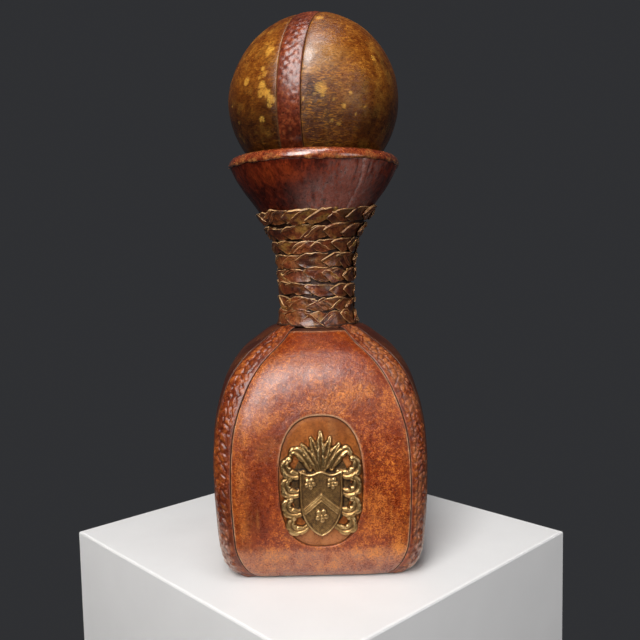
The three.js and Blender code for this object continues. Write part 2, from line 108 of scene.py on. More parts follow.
def vnoise(x, y, z=0.0, seed=0):
    """Smooth value noise in 0..1, one cell per unit."""
    x, y, z = np.broadcast_arrays(np.asarray(x, float), np.asarray(y, float), np.asarray(z, float))
    fx, fy, fz = np.floor(x), np.floor(y), np.floor(z)
    u, v, w = x - fx, y - fy, z - fz
    u, v, w = (t * t * t * (t * (t * 6 - 15) + 10) for t in (u, v, w))
    out = 0
    for a in (0, 1):
        for b in (0, 1):
            for c in (0, 1):
                out = out + _hash(fx + a, fy + b, fz + c, seed) * (u if a else 1 - u) * (v if b else 1 - v) * (w if c else 1 - w)
    return out


def fbm(x, y, z=0.0, octaves=4, seed=0, gain=0.5):
    total, amp, norm, f = 0, 1.0, 0, 1.0
    for o in range(octaves):
        total = total + amp * vnoise(np.asarray(x) * f, np.asarray(y) * f, np.asarray(z) * f, seed + 31 * o)
        norm += amp
        amp *= gain
        f *= 2.03
    return total / norm


def blob(x, z, cx, cz, rx, rz):
    return np.exp(-(((x - cx) / rx) ** 2 + ((z - cz) / rz) ** 2))


# --------------------------------------------------------------------- meshes
def make(name, V, faces, mat, attrs=None):
    """Mesh object from points in mm and lists of faces (arrays of 3 or 4 corners)."""
    V = np.asarray(V, float).reshape(-1, 3)
    faces = [np.asarray(f, np.int64) for f in (faces if isinstance(faces, list) else [faces]) if len(f)]
    vol = 0.0
    for f in faces:
        for k in range(1, f.shape[1] - 1):
            vol += np.einsum("ij,ij->i", V[f[:, 0]], np.cross(V[f[:, k]], V[f[:, k + 1]])).sum()
    if vol < 0:
        faces = [f[:, ::-1] for f in faces]
    me = bpy.data.meshes.new(name)
    me.vertices.add(len(V))
    me.vertices.foreach_set("co", (V * 0.001).astype(np.float32).ravel())
    loops = np.concatenate([f.ravel() for f in faces])
    totals = np.concatenate([np.full(len(f), f.shape[1]) for f in faces])
    starts = np.concatenate([[0], np.cumsum(totals)[:-1]])
    me.loops.add(len(loops))
    me.loops.foreach_set("vertex_index", loops.astype(np.int32))
    me.polygons.add(len(totals))
    me.polygons.foreach_set("loop_start", starts.astype(np.int32))
    me.polygons.foreach_set("loop_total", totals.astype(np.int32))
    me.polygons.foreach_set("use_smooth", np.ones(len(totals), bool))
    me.update(calc_edges=True)
    me.validate()
    for k, v in (attrs or {}).items():
        a = me.attributes.new(k, "FLOAT", "POINT")
        a.data.foreach_set("value", np.asarray(v, np.float32).ravel())
    ob = bpy.data.objects.new(name, me)
    bpy.context.scene.collection.objects.link(ob)
    if mat:
        me.materials.append(mat)
    return ob


def quads(nr, nc, close_r=False, close_c=False, base=0):
    """Corner numbers of an nr x nc grid of points."""
    r = np.arange(nr if close_r else nr - 1)
    c = np.arange(nc if close_c else nc - 1)
    R, C = np.meshgrid(r, c, indexing="ij")
    R2, C2 = (R + 1) % nr, (C + 1) % nc
    return base + np.stack([R * nc + C, R * nc + C2, R2 * nc + C2, R2 * nc + C], -1).reshape(-1, 4)


def slab_faces(nr, nc, base=0):
    """Faces of a closed slab: a grid of points on top, the same grid below."""
    m = nr * nc
    rim = np.concatenate([np.arange(nc), np.arange(1, nr) * nc + nc - 1,
                          (nr - 1) * nc + np.arange(nc - 2, -1, -1), np.arange(nr - 2, 0, -1) * nc]) + base
    nxt = np.roll(rim, -1)
    return np.concatenate([quads(nr, nc, base=base), quads(nr, nc, base=base + m)[:, ::-1], np.stack([rim, rim + m, nxt + m, nxt], -1)])


def slab(name, top, low, mat, attrs):
    """Closed slab from two grids of the same shape (rows, columns, 3)."""
    nr, nc = top.shape[:2]
    m = nr * nc
    V = np.concatenate([top.reshape(-1, 3), low.reshape(-1, 3)])
    A = {k: np.concatenate([np.asarray(v[0]).ravel(), np.asarray(v[1]).ravel() if np.ndim(v[1]) else np.full(m, v[1])])
         for k, v in attrs.items()}
    return make(name, V, slab_faces(nr, nc), mat, A)


def lathe_loop(name, prof, seg, mat, attrs=None, move=None, closed=True):
    """Ring from a closed (radius, height) loop, turned about Z. move(phi, P, k) may bend it.
    Azimuth 0 is the front (-Y), positive to the right."""
    prof = np.asarray(prof, float)
    phi = np.arange(seg) / seg * TAU
    R = np.broadcast_to(prof[None, :, 0], (seg, len(prof))).copy()
    Z = np.broadcast_to(prof[None, :, 1], (seg, len(prof))).copy()
    PH = np.broadcast_to(phi[:, None], R.shape).copy()
    if move:
        R, Z = move(PH, R, Z)
    V = np.stack([R * np.sin(PH), -R * np.cos(PH), Z], -1)
    F = quads(seg, len(prof), True, closed)
    A = {k: (v(PH, R, Z) if callable(v) else np.broadcast_to(np.asarray(v)[None, :], R.shape)) for k, v in (attrs or {}).items()}
    return make(name, V.reshape(-1, 3), F, mat, A)


def resample(pts, step):
    """Points along a closed or open polyline at an even step, corners kept roughly."""
    pts = np.asarray(pts, float)
    d = np.r_[0, np.cumsum(np.linalg.norm(np.diff(pts, axis=0), axis=1))]
    n = max(2, int(round(d[-1] / step)) + 1)
    s = np.linspace(0, d[-1], n)
    return np.stack([np.interp(s, d, pts[:, 0]), np.interp(s, d, pts[:, 1])], -1)


def normals2(pts):
    t = np.gradient(pts, axis=0)
    t /= np.linalg.norm(t, axis=1, keepdims=True)
    return np.stack([t[:, 1], -t[:, 0]], -1)


# ------------------------------------------------------- surface of the body
_PSI = np.linspace(0, math.pi / 4, 73)


def square_r(phi, n):
    return (np.abs(np.cos(phi)) ** n + np.abs(np.sin(phi)) ** n) ** (-1 / n)


def arc_table(z):
    z = np.atleast_1d(z).astype(float)
    a, n = body_a(z)[:, None], body_n(z)[:, None]
    r = a * square_r(_PSI[None], n)
    x, y = r * np.cos(_PSI), r * np.sin(_PSI)
    seg = np.hypot(np.diff(x, axis=1), np.diff(y, axis=1))
    return np.concatenate([np.zeros((len(z), 1)), np.cumsum(seg, 1)], 1)


def half_face(z):
    return arc_table(np.ravel(z))[:, -1].reshape(np.shape(z))


FACE = {"front": -math.pi / 2, "right": 0.0, "back": math.pi / 2, "left": math.pi}


def face_points(face, arc, z):
    """Point and outward normal on the leather's nominal surface. arc runs along
    the surface from the middle of the face, anticlockwise seen from above."""
    shape = np.shape(arc)
    arc, z = np.ravel(arc).astype(float), np.ravel(z).astype(float)
    T = arc_table(z)
    s = np.abs(arc)
    i = np.clip((T <= s[:, None]).sum(1) - 1, 0, T.shape[1] - 2)
    k = np.arange(len(s))
    f = (s - T[k, i]) / (T[k, i + 1] - T[k, i])
    psi = (_PSI[i] + f * (_PSI[1] - _PSI[0])) * np.sign(arc)
    n = body_n(z)
    r = body_a(z) * square_r(psi, n)
    ph = FACE[face] + psi
    P = np.stack([r * np.cos(ph), r * np.sin(ph), z], -1)

    def gauge(x, y, zz):
        nn = body_n(zz)
        return (np.abs(x) ** nn + np.abs(y) ** nn) ** (1 / nn) - body_a(zz)
    e = 0.02
    N = np.stack([gauge(P[:, 0] + e, P[:, 1], z) - gauge(P[:, 0] - e, P[:, 1], z),
                  gauge(P[:, 0], P[:, 1] + e, z) - gauge(P[:, 0], P[:, 1] - e, z),
                  gauge(P[:, 0], P[:, 1], z + e) - gauge(P[:, 0], P[:, 1], z - e)], -1)
    N /= np.linalg.norm(N, axis=1, keepdims=True)
    return P.reshape(shape + (3,)), N.reshape(shape + (3,))


def corner_points(corner, off, z):
    """As face_points, with off measured from the corner's diagonal: negative
    towards the face clockwise of it, positive anticlockwise."""
    cw, acw = {"front_right": ("front", "right"), "back_right": ("right", "back"),
               "back_left": ("back", "left"), "front_left": ("left", "front")}[corner]
    H = half_face(z)
    P1, N1 = face_points(cw, H + np.minimum(off, 0), z)
    P2, N2 = face_points(acw, -(H - np.maximum(off, 0)), z)
    k = (off > 0)[..., None]
    return np.where(k, P2, P1), np.where(k, N2, N1)


def roll(e, r):
    """Depth of a rounded edge of radius r at distance e from the edge."""
    t = np.clip(r - e, 0, r)
    return r - np.sqrt(np.maximum(r * r - t * t, 0))


GAP = 0.13          # half of the open groove at a seam
EDGE = np.array([0, 0.04, 0.12, 0.25, 0.42, 0.65, 0.95, 1.4, 2.0])


# ------------------------------------------------------------------ materials
class Mat:
    """Short way to write a node material."""

    def __init__(self, name):
        self.m = bpy.data.materials.new(name)
        self.m.use_nodes = True
        self.t = self.m.node_tree
        self.t.nodes.clear()
        self.out = self.node("ShaderNodeOutputMaterial")
        self.b = self.node("ShaderNodeBsdfPrincipled")
        self.link(self.b.outputs[0], self.out.inputs[0])
        self.coord = self.node("ShaderNodeTexCoord").outputs["Object"]

    def node(self, kind, **kw):
        n = self.t.nodes.new(kind)
        for k, v in kw.items():
            setattr(n, k, v)
        return n

    def link(self, a, b):
        self.t.links.new(a, b)

    def put(self, sock, v):
        if isinstance(v, bpy.types.NodeSocket):
            self.link(v, sock)
        elif isinstance(v, (tuple, list)) and len(v) == 3 and sock.type == "RGBA":
            sock.default_value = (*v, 1)
        else:
            sock.default_value = v

    def scaled(self, s):
        n = self.node("ShaderNodeMapping")
        self.link(self.coord, n.inputs[0])
        n.inputs["Scale"].default_value = s
        return n.outputs[0]

    def noise(self, scale, detail=4, rough=0.55, dist=0.0, vec=None):
        n = self.node("ShaderNodeTexNoise")
        self.link(vec or self.coord, n.inputs["Vector"])
        n.inputs["Scale"].default_value = scale
        n.inputs["Detail"].default_value = detail
        n.inputs["Roughness"].default_value = rough
        n.inputs["Distortion"].default_value = dist
        return n.outputs["Fac"]

    def voronoi(self, scale, feature="F1", out="Distance", vec=None, rnd=1.0):
        n = self.node("ShaderNodeTexVoronoi", feature=feature)
        self.link(vec or self.coord, n.inputs["Vector"])
        n.inputs["Scale"].default_value = scale
        n.inputs["Randomness"].default_value = rnd
        return n.outputs[out]

    def attr(self, name):
        n = self.node("ShaderNodeAttribute", attribute_type="GEOMETRY", attribute_name=name)
        return n.outputs["Fac"]

    def math(self, op, a, b=None, clamp=False):
        n = self.node("ShaderNodeMath", operation=op, use_clamp=clamp)
        self.put(n.inputs[0], a)
        if b is not None:
            self.put(n.inputs[1], b)
        return n.outputs[0]

    def span(self, v, a, b, c=0.0, d=1.0):
        n = self.node("ShaderNodeMapRange", clamp=True)
        self.put(n.inputs[0], v)
        for i, x in enumerate((a, b, c, d)):
            n.inputs[i + 1].default_value = x
        return n.outputs[0]

    def ramp(self, fac, stops, mode="LINEAR"):
        n = self.node("ShaderNodeValToRGB")
        n.color_ramp.interpolation = mode
        e = n.color_ramp.elements
        while len(e) < len(stops):
            e.new(0.5)
        for k, (p, c) in enumerate(stops):
            e[k].position = p
            e[k].color = (*c, 1)
        self.link(fac, n.inputs[0])
        return n.outputs[0]

    def mix(self, fac, a, b, blend="MIX"):
        n = self.node("ShaderNodeMix", data_type="RGBA", blend_type=blend)
        self.put(n.inputs[0], fac)
        self.put(n.inputs[6], a)
        self.put(n.inputs[7], b)
        return n.outputs[2]

    def bump(self, height, strength, distance, normal=None):
        n = self.node("ShaderNodeBump")
        n.inputs["Strength"].default_value = strength
        n.inputs["Distance"].default_value = distance
        self.link(height, n.inputs["Height"])
        if normal:
            self.link(normal, n.inputs["Normal"])
        return n.outputs[0]

    def set(self, **kw):
        names = {"color": "Base Color", "rough": "Roughness", "metal": "Metallic", "normal": "Normal",
                 "spec": "Specular IOR Level", "coat": "Coat Weight", "coat_rough": "Coat Roughness",
                 "trans": "Transmission Weight", "ior": "IOR"}
        for k, v in kw.items():
            self.put(self.b.inputs[names[k]], v)
        return self.m


def leather(name, stops, mottle=130.0, fine=950.0, tip=(0.42, 0.15, 0.035), tip_amount=0.6, wear_and_sheen=(0.52, 0.25, 0.09),
            dark=(0.05, 0.011, 0.004), edge=(0.50, 0.27, 0.12), edge_amount=0.75, rough=(0.34, 0.50), grain=0.35,
            coat=0.0, stretch=None, fine_stretch=None, level=0.0, warm=(0.36, 0.075, 0.018), warm_rough=0.0, crease=None, spec=0.5, pores=0.62,
            patchy=1.0, grainy=0.45, tip_dark=0.10, wear_soft=0.0, warm_coat=0.0, dark_min=0.45, polish=0.0, coat_rough=0.22):
    """Waxed, worn leather: dyed skin whose grain tips are rubbed to a lighter colour.
    Point attributes: edge (light cut edge; on the strips low down also a painted reflection of the table, and on the
    plaits and round the oval painted lighter on the upper side), deep (painted shade in grooves, gaps and hollows),
    wear (rubbed places; on the funnel and some corner strips also painted sheen and light), dark (stains; on some parts
    painted shade), warm (a warmer or paler tint; low on the panels and the inlay a painted reflection of the floor),
    polish."""
    M = Mat(name)
    vec = M.scaled(stretch) if stretch else None
    fvec = M.scaled(fine_stretch) if fine_stretch else None
    n1 = M.noise(mottle, 6, 0.64, 0.6, vec)
    n2 = M.noise(mottle * 0.24, 3, 0.5, 0.4)
    g1 = M.noise(fine, 3, 0.6, 0.35, fvec)
    g2 = M.noise(fine * 0.42, 4, 0.6, 0.5, fvec)
    wear_at, dark_at, groove_shade_at = M.attr("wear_and_sheen"), M.attr("dark"), M.attr("groove_shade")
    base = M.math("ADD", M.math("MULTIPLY", n1, 0.60 * patchy), M.math("MULTIPLY", n2, 0.40 * patchy))
    base = M.math("ADD", base, 0.5 * (1 - patchy))
    base = M.math("ADD", base, M.math("MULTIPLY", M.math("SUBTRACT", g2, 0.5), grainy))
    col = M.ramp(base, stops)
    col = M.mix(M.math("MULTIPLY", M.attr("warm"), M.span(n1, 0.34, 0.58, 0.35, 1.0)), col, warm)
    # broad darkening: stains, and on some parts painted shade (undersides, sides turned from the light, creases and
    # dents)
    d = M.math("MULTIPLY", dark_at, M.span(n1, 0.30, 0.58, 1.0, dark_min))
    col = M.mix(d, col, dark)
    w = M.math("MULTIPLY", wear_at, M.span(M.noise(mottle * 2.4, 5, 0.72, 0.5), 0.34, 0.60, wear_soft, 1.0))
    col = M.mix(w, col, wear_and_sheen)
    # rubbed grain tips, more of them where the skin is worn
    t = M.math("ADD", M.math("MULTIPLY", g1, 0.72), M.math("MULTIPLY", g2, 0.28))
    t = M.math("ADD", t, M.math("MULTIPLY", M.math("SUBTRACT", n1, 0.5), 0.55 * patchy))
    t = M.math("ADD", t, M.math("MULTIPLY", M.math("SUBTRACT", wear_at, dark_at), tip_dark))
    col = M.mix(M.span(t, 0.50 - level, 0.66 - level, 0.0, tip_amount), col, tip)
    # dirt in the pores
    col = M.mix(M.span(g1, 0.34, 0.47, pores, 0.0), col, dark)
    e = M.math("MULTIPLY", M.attr("edge"), M.span(M.noise(420, 4, 0.6), 0.3, 0.62, 0.25, edge_amount))
    col = M.mix(e, col, edge)
    # painted shade in grooves, gaps and hollows: the deep attribute mixes in near black
    col = M.mix(M.math("MULTIPLY", groove_shade_at, 0.92), col, (0.012, 0.005, 0.003))
    h = M.math("ADD", M.math("MULTIPLY", g1, 0.8), M.math("MULTIPLY", g2, 1.1))
    if crease:
        c = M.noise(crease, 3, 0.55, 0.9, M.scaled((0.26, 0.26, 1.0)))
        c = M.math("ABSOLUTE", M.math("SUBTRACT", c, 0.5))
        crease_at = M.attr("crease")
        line = M.math("MULTIPLY", M.span(c, 0.0, 0.09, 1.0, 0.0), crease_at)
        ridge = M.math("MULTIPLY", M.span(c, 0.06, 0.18, 0.0, 0.50), crease_at)
        h = M.math("SUBTRACT", h, M.math("MULTIPLY", line, 2.4))
        # crease ridges painted lighter and crease lines painted darker: painted highlight and painted shade on the
        # creases
        col = M.mix(ridge, col, tip)
        col = M.mix(M.math("MULTIPLY", line, 0.50), col, dark)
    nrm = M.bump(h, grain, 0.0004)
    r = M.span(M.math("ADD", M.math("MULTIPLY", g1, 0.55), M.math("MULTIPLY", n1, 0.45)), 0.32, 0.68, rough[0], rough[1])
    r = M.math("ADD", r, M.math("MULTIPLY", groove_shade_at, 0.3), True)
    if crease:
        r = M.math("ADD", r, M.math("MULTIPLY", crease_at, 0.24), True)
    if warm_rough:
        r = M.math("ADD", r, M.math("MULTIPLY", M.attr("warm"), warm_rough), True)
        if warm_coat:
            coat = M.math("ADD", M.math("MULTIPLY", M.attr("warm"), warm_coat), coat, True)
        else:
            coat = M.math("MULTIPLY", M.math("SUBTRACT", 1.0, M.attr("warm"), True), coat)
    if polish:
        coat = M.math("ADD", M.math("MULTIPLY", M.attr("polish"), polish), coat, True)
    M.set(color=col, rough=r, normal=nrm, spec=spec, coat=coat, coat_rough=coat_rough)
    return M.m


# the warm colour here paints the panels' paler foot: a reflection of the floor
m_panel = leather("panel_leather", [(0.30, (0.125, 0.015, 0.0018)), (0.43, (0.180, 0.023, 0.0025)), (0.55, (0.250, 0.037, 0.0045)), (0.74, (0.37, 0.080, 0.011))],
                  mottle=130, fine=1350, patchy=0.60, grainy=1.0, edge=(0.62, 0.38, 0.22), tip_dark=0.18, tip=(0.60, 0.185, 0.024), tip_amount=0.80, stretch=(1.0, 1.0, 0.6), rough=(0.23, 0.37), grain=0.7, wear_and_sheen=(0.54, 0.19, 0.036),
                  dark=(0.066, 0.0065, 0.0015), coat=0.14, spec=0.38, warm=(0.30, 0.136, 0.088), pores=0.36, polish=0.86, coat_rough=0.25)
# darker copy of the panel leather for the left and right panels: painted shade
m_side_shaded = leather("side_leather_shaded", [(0.30, (0.100, 0.012, 0.0018)), (0.43, (0.150, 0.020, 0.0025)), (0.55, (0.215, 0.033, 0.0045)), (0.74, (0.32, 0.070, 0.011))],
                 mottle=130, fine=1350, patchy=0.60, grainy=1.0, edge=(0.62, 0.38, 0.22), tip_dark=0.25, tip=(0.50, 0.155, 0.024), tip_amount=0.70, stretch=(1.0, 1.0, 0.6), rough=(0.26, 0.40), grain=0.7, wear_and_sheen=(0.50, 0.18, 0.036),
                 dark=(0.042, 0.0095, 0.0050), coat=0.20, warm=(0.30, 0.136, 0.085), pores=0.36, dark_min=0.90)
# the strips' pale greyish edge colour also paints the table's reflection low down
m_strip = leather("strip_leather", [(0.30, (0.072, 0.009, 0.002)), (0.45, (0.155, 0.022, 0.004)), (0.57, (0.245, 0.045, 0.007)), (0.72, (0.37, 0.092, 0.015))],
                  mottle=260, fine=900, tip=(0.45, 0.13, 0.022), tip_amount=0.40, rough=(0.30, 0.46), dark=(0.036, 0.005, 0.002), wear_and_sheen=(0.50, 0.15, 0.025), coat=0.14,
                  warm=(0.27, 0.092, 0.034), warm_rough=0.20, pores=0.45, edge=(0.60, 0.44, 0.36), edge_amount=1.0)
# the inlay's warm colour paints its paler lower part: a reflection of the floor
m_inlay = leather("inlay_leather", [(0.30, (0.13, 0.031, 0.004)), (0.48, (0.205, 0.054, 0.006)), (0.60, (0.29, 0.080, 0.010)), (0.74, (0.38, 0.118, 0.018))],
                  mottle=90, fine=900, tip=(0.38, 0.135, 0.032), tip_amount=0.35, rough=(0.44, 0.56), grain=0.2, dark=(0.09, 0.020, 0.004), spec=0.22, warm=(0.44, 0.175, 0.075))
# the funnel's pale purplish scuff colour also paints a sheen, a reflection of the table
m_funnel = leather("funnel_leather", [(0.30, (0.028, 0.003, 0.0012)), (0.46, (0.064, 0.006, 0.002)), (0.60, (0.115, 0.012, 0.0035)), (0.76, (0.20, 0.030, 0.008))],
                   mottle=230, fine=1000, tip=(0.23, 0.032, 0.008), tip_amount=0.62, tip_dark=0.25, stretch=(1.0, 1.0, 0.5), fine_stretch=(1.0, 1.0, 0.45), rough=(0.24, 0.40),
                   wear_and_sheen=(0.50, 0.292, 0.255), dark=(0.022, 0.0028, 0.0015), coat=0.02, spec=0.27, warm=(0.26, 0.036, 0.007), pores=0.45, wear_soft=0.50, grainy=1.2)
m_rim = leather("rim_leather", [(0.30, (0.075, 0.010, 0.003)), (0.46, (0.17, 0.023, 0.006)), (0.60, (0.27, 0.048, 0.011)), (0.74, (0.40, 0.105, 0.024))],
                mottle=260, fine=900, tip=(0.44, 0.12, 0.026), tip_amount=0.45, rough=(0.18, 0.32), wear_and_sheen=(0.60, 0.27, 0.075), dark=(0.050, 0.008, 0.004), coat=0.9, grain=0.25)
m_dark = leather("dark_leather", [(0.30, (0.018, 0.006, 0.003)), (0.46, (0.040, 0.012, 0.006)), (0.60, (0.068, 0.022, 0.010)), (0.76, (0.115, 0.042, 0.019))],
                 mottle=150, fine=850, tip=(0.13, 0.05, 0.022), tip_amount=0.3, rough=(0.46, 0.64), dark=(0.012, 0.004, 0.002))
m_plait = leather("plait_leather", [(0.28, (0.024, 0.004, 0.002)), (0.42, (0.088, 0.017, 0.0055)), (0.54, (0.170, 0.037, 0.010)), (0.66, (0.26, 0.070, 0.017)), (0.80, (0.40, 0.16, 0.040))],
                  mottle=170, fine=1000, tip=(0.29, 0.11, 0.03), tip_amount=0.45, rough=(0.27, 0.46), edge=(0.90, 0.56, 0.26), edge_amount=1.0,
                  wear_and_sheen=(0.40, 0.22, 0.045), dark=(0.018, 0.004, 0.002), coat=0.22)
# the ball's warm colour tints the polished patch: a painted highlight over the real gloss
m_ball = leather("ball_leather", [(0.28, (0.062, 0.010, 0.001)), (0.43, (0.140, 0.031, 0.002)), (0.56, (0.230, 0.066, 0.005)), (0.76, (0.38, 0.148, 0.013))],
                 mottle=120, fine=1000, tip_dark=0.34, tip=(0.52, 0.210, 0.022), tip_amount=0.46, fine_stretch=(0.7, 0.7, 1.8), rough=(0.22, 0.36), wear_and_sheen=(0.66, 0.36, 0.06),
                 dark=(0.016, 0.0035, 0.001), grain=0.26, coat=0.05, crease=980, spec=0.42, warm=(0.42, 0.185, 0.045), warm_rough=-0.08, warm_coat=1.0, dark_min=0.70)
m_band = leather("band_leather", [(0.30, (0.05, 0.007, 0.002)), (0.46, (0.12, 0.017, 0.0045)), (0.60, (0.20, 0.034, 0.008)), (0.74, (0.30, 0.066, 0.016))],
                 mottle=240, fine=900, tip=(0.34, 0.10, 0.03), tip_amount=0.30, rough=(0.26, 0.40), dark=(0.020, 0.004, 0.002), wear_and_sheen=(0.36, 0.11, 0.035), coat=0.16, grain=0.22)


def brass_material():
    M = Mat("antique_brass")
    h = M.attr("high")
    n = M.noise(420, 5, 0.65, 0.3)
    t = M.math("ADD", h, M.math("MULTIPLY", M.math("SUBTRACT", n, 0.5), 0.55))
    t = M.math("ADD", t, M.math("MULTIPLY", M.math("SUBTRACT", M.noise(1300, 3, 0.6), 0.5), 0.45))
    col = M.ramp(t, [(0.16, (0.020, 0.009, 0.003)), (0.36, (0.16, 0.085, 0.032)), (0.57, (0.41, 0.240, 0.090)), (0.88, (0.84, 0.58, 0.28))])
    r = M.span(t, 0.2, 0.8, 0.52, 0.28)
    nrm = M.bump(M.math("ADD", M.noise(1500, 4, 0.6), M.math("MULTIPLY", M.noise(420, 3, 0.5), 0.9)), 0.40, 0.0003)
    return M.set(color=col, rough=r, metal=M.span(t, 0.10, 0.45, 0.5, 1.0), normal=nrm)


def glass_material():
    M = Mat("bottle_glass")
    n = M.noise(60, 3, 0.5)
    col = M.ramp(n, [(0.35, (0.30, 0.42, 0.27)), (0.65, (0.42, 0.55, 0.38))])
    r = M.span(M.noise(220, 3), 0.3, 0.7, 0.03, 0.09)
    return M.set(color=col, rough=r, trans=0.85, ior=1.5, normal=M.bump(n, 0.15, 0.0008))


def cork_material():
    M = Mat("cork")
    n = M.noise(260, 6, 0.7, 0.5)
    v = M.voronoi(420, "F1", "Distance")
    col = M.ramp(n, [(0.30, (0.21, 0.11, 0.050)), (0.5, (0.37, 0.215, 0.105)), (0.7, (0.48, 0.31, 0.17))])
    pits = M.span(M.noise(520, 2, 0.5, 0.8), 0.60, 0.70)
    col = M.mix(pits, col, (0.10, 0.045, 0.02))
    h = M.math("SUBTRACT", M.math("MULTIPLY", v, 0.5), pits)
    return M.set(color=col, rough=0.85, normal=M.bump(h, 0.6, 0.0006), spec=0.3)


def wood_material():
    M = Mat("turned_wood")
    v = M.scaled((1.0, 1.0, 0.18))
    n = M.noise(240, 5, 0.6, 1.2, v)
    col = M.ramp(n, [(0.32, (0.25, 0.135, 0.055)), (0.52, (0.40, 0.235, 0.105)), (0.7, (0.52, 0.33, 0.16))])
    return M.set(color=col, rough=M.span(n, 0.3, 0.7, 0.5, 0.68), normal=M.bump(n, 0.3, 0.0004))


m_brass, m_glass, m_cork, m_wood = brass_material(), glass_material(), cork_material(), wood_material()


def use(ob, body, slot, *nodes):
    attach(ob, body)
    if nodes:
        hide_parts(*nodes)
    return ob


# ----------------------------------------------------------------- the panels
def lump(P, amount=0.22, seed=3):
    """Slow unevenness of hand-stretched leather."""
    return amount * (2 * fbm(P[..., 0] / 17, P[..., 1] / 17, P[..., 2] / 17, 3, seed) - 1)


def panel_marks(face, arc, z, e):
    """Rubbing, darkening and cut-edge amounts on a panel, and its paler foot, a painted reflection of the floor."""
    wear_and_sheen = 0.55 * smooth(0.5, 0.72, fbm(arc / 14, z / 14, 0.3, 4, 11 + len(face)))
    dark = 0.55 * smooth(0.5, 0.75, fbm(arc / 11 + 9, z / 22, 0.7, 4, 17 + len(face)))
    if face == "front":
        wear_and_sheen = wear_and_sheen * 0.35
        dark = dark * 0.35
        for cx, cz, rx, rz, k in ((40, 17, 4, 5, 0.9), (-25, 87, 6, 3.0, 0.28), (-32, 83, 5, 3.5, 0.32), (-39, 77, 3.5, 5, 0.36), (34, 92, 10, 8, 0.12), (16, 99, 12, 6, 0.35), (4, 92, 10, 5, 0.35),
                                  (21, 102, 1.1, 2.4, 0.9), (42.5, 44, 1.0, 6, 0.25), (-40, 30, 4, 16, 0.35), (26, 100, 4, 3, 0.5),
                                  (28, 15, 6, 3, 0.6), (-41, 56, 3, 12, 0.4), (44, 70, 3, 12, 0.15), (36, 33, 1.0, 9, 0.5), (-33, 33, 0.8, 6, 0.5)):
            wear_and_sheen = np.maximum(wear_and_sheen, k * blob(arc, z, cx, cz, rx, rz))
        # darker patches: stains, except the broad one across the top of the shoulder and the one at its upper right,
        # which are painted shade
        for cx, cz, rx, rz, k in ((-34, 42, 9, 24, 0.56), (-25, 55, 4, 14, 0.22), (-24, 76, 7, 6, 0.62), (-30, 70, 8, 8, 0.62), (-20, 82, 5, 5, 0.50), (15, 91, 14, 7, 0.34), (-36, 84, 7, 8, 0.25), (43.5, 58, 4, 20, 0.38), (25.5, 74, 0.6, 0.6, 1.0),
                                  (36, 76, 6, 8, 0.18), (30, 106, 9, 9, 0.40), (0, 122, 32, 11, 0.42), (22, 92, 10, 8, 0.25), (-38, 22, 8, 6, 0.5), (-20, 96, 3, 3, 0.15), (20, 24, 14, 4, 0.3)):
            dark = np.maximum(dark, k * blob(arc, z, cx, cz, rx, rz))
    edge = np.exp(-((e - 0.25) / 0.42) ** 2) * (0.35 + 0.9 * smooth(0.36, 0.6, fbm(arc / 3, z / 9, 0.6, 3, 23)))
    # paler foot: painted reflection of the floor
    floor_sheen = 0.80 * smooth(20.5, 14.5, z + 4 * (fbm(arc / 12, z / 12, 0.2, 3, 19) - 0.5))
    return np.clip(wear_and_sheen, 0, 1), np.clip(dark * (1 - floor_sheen), 0, 1), edge, floor_sheen


def solid_panel(face):
    seam = seam_front if face in ("front", "back") else seam_side
    lowz = PANEL_LOW + EDGE
    topz = PANEL_TOP - EDGE[:5][::-1] * 0.4
    zs = np.concatenate([lowz, np.linspace(3.4, 127.5, 96), [128.6, 129.4, 130.1], topz])
    W = half_face(zs) - seam(zs) - GAP
    mid = np.linspace(-1, 1, 84)
    arcs = np.stack([np.concatenate([-(w - EDGE), mid * (w - 2.9), (w - EDGE)[::-1]]) for w in W])
    Z = np.broadcast_to(zs[:, None], arcs.shape)
    P, N = face_points(face, arcs, Z)
    e = np.minimum(W[:, None] - np.abs(arcs), Z - PANEL_LOW)
    h = -roll(e, 0.65) + lump(P) + 0.06 * (2 * fbm(P[..., 0] / 3, P[..., 1] / 3, P[..., 2] / 3, 3, 8) - 1)
    h -= 0.25 * np.exp(-(e / 2.5) ** 2)
    top = P + N * h[..., None]
    low = P - N * 2.05
    wear_and_sheen, dark, edge, floor_sheen = panel_marks(face, arcs, Z, e)
    edge = 0.12 * edge
    if face != "back":
        # painted shade: the side panels darken all over, more towards the front strip and most on the shoulder
        fore_shade = smooth(28, -22, P[..., 1])
        wear_and_sheen, dark = wear_and_sheen * (0.8 - 0.6 * fore_shade), np.clip(0.7 * dark + 0.10 + fore_shade * (0.15 + 0.70 * smooth(65, 92, Z)), 0, 1)
    ob = slab(face + "_panel_leather", top, low, m_panel if face == "back" else m_side_shaded,
              {"wear_and_sheen": (wear_and_sheen, 0.0), "dark": (dark, 0.0), "edge": (edge, 0.6), "warm": (floor_sheen, 0.0), "groove_shade": (np.clip(1 - e / (0.12 if face == "back" else 0.55), 0, 1) * 0.8, 1.0)})
    return use(ob, "bottle", "red_leather", face + "_panel")


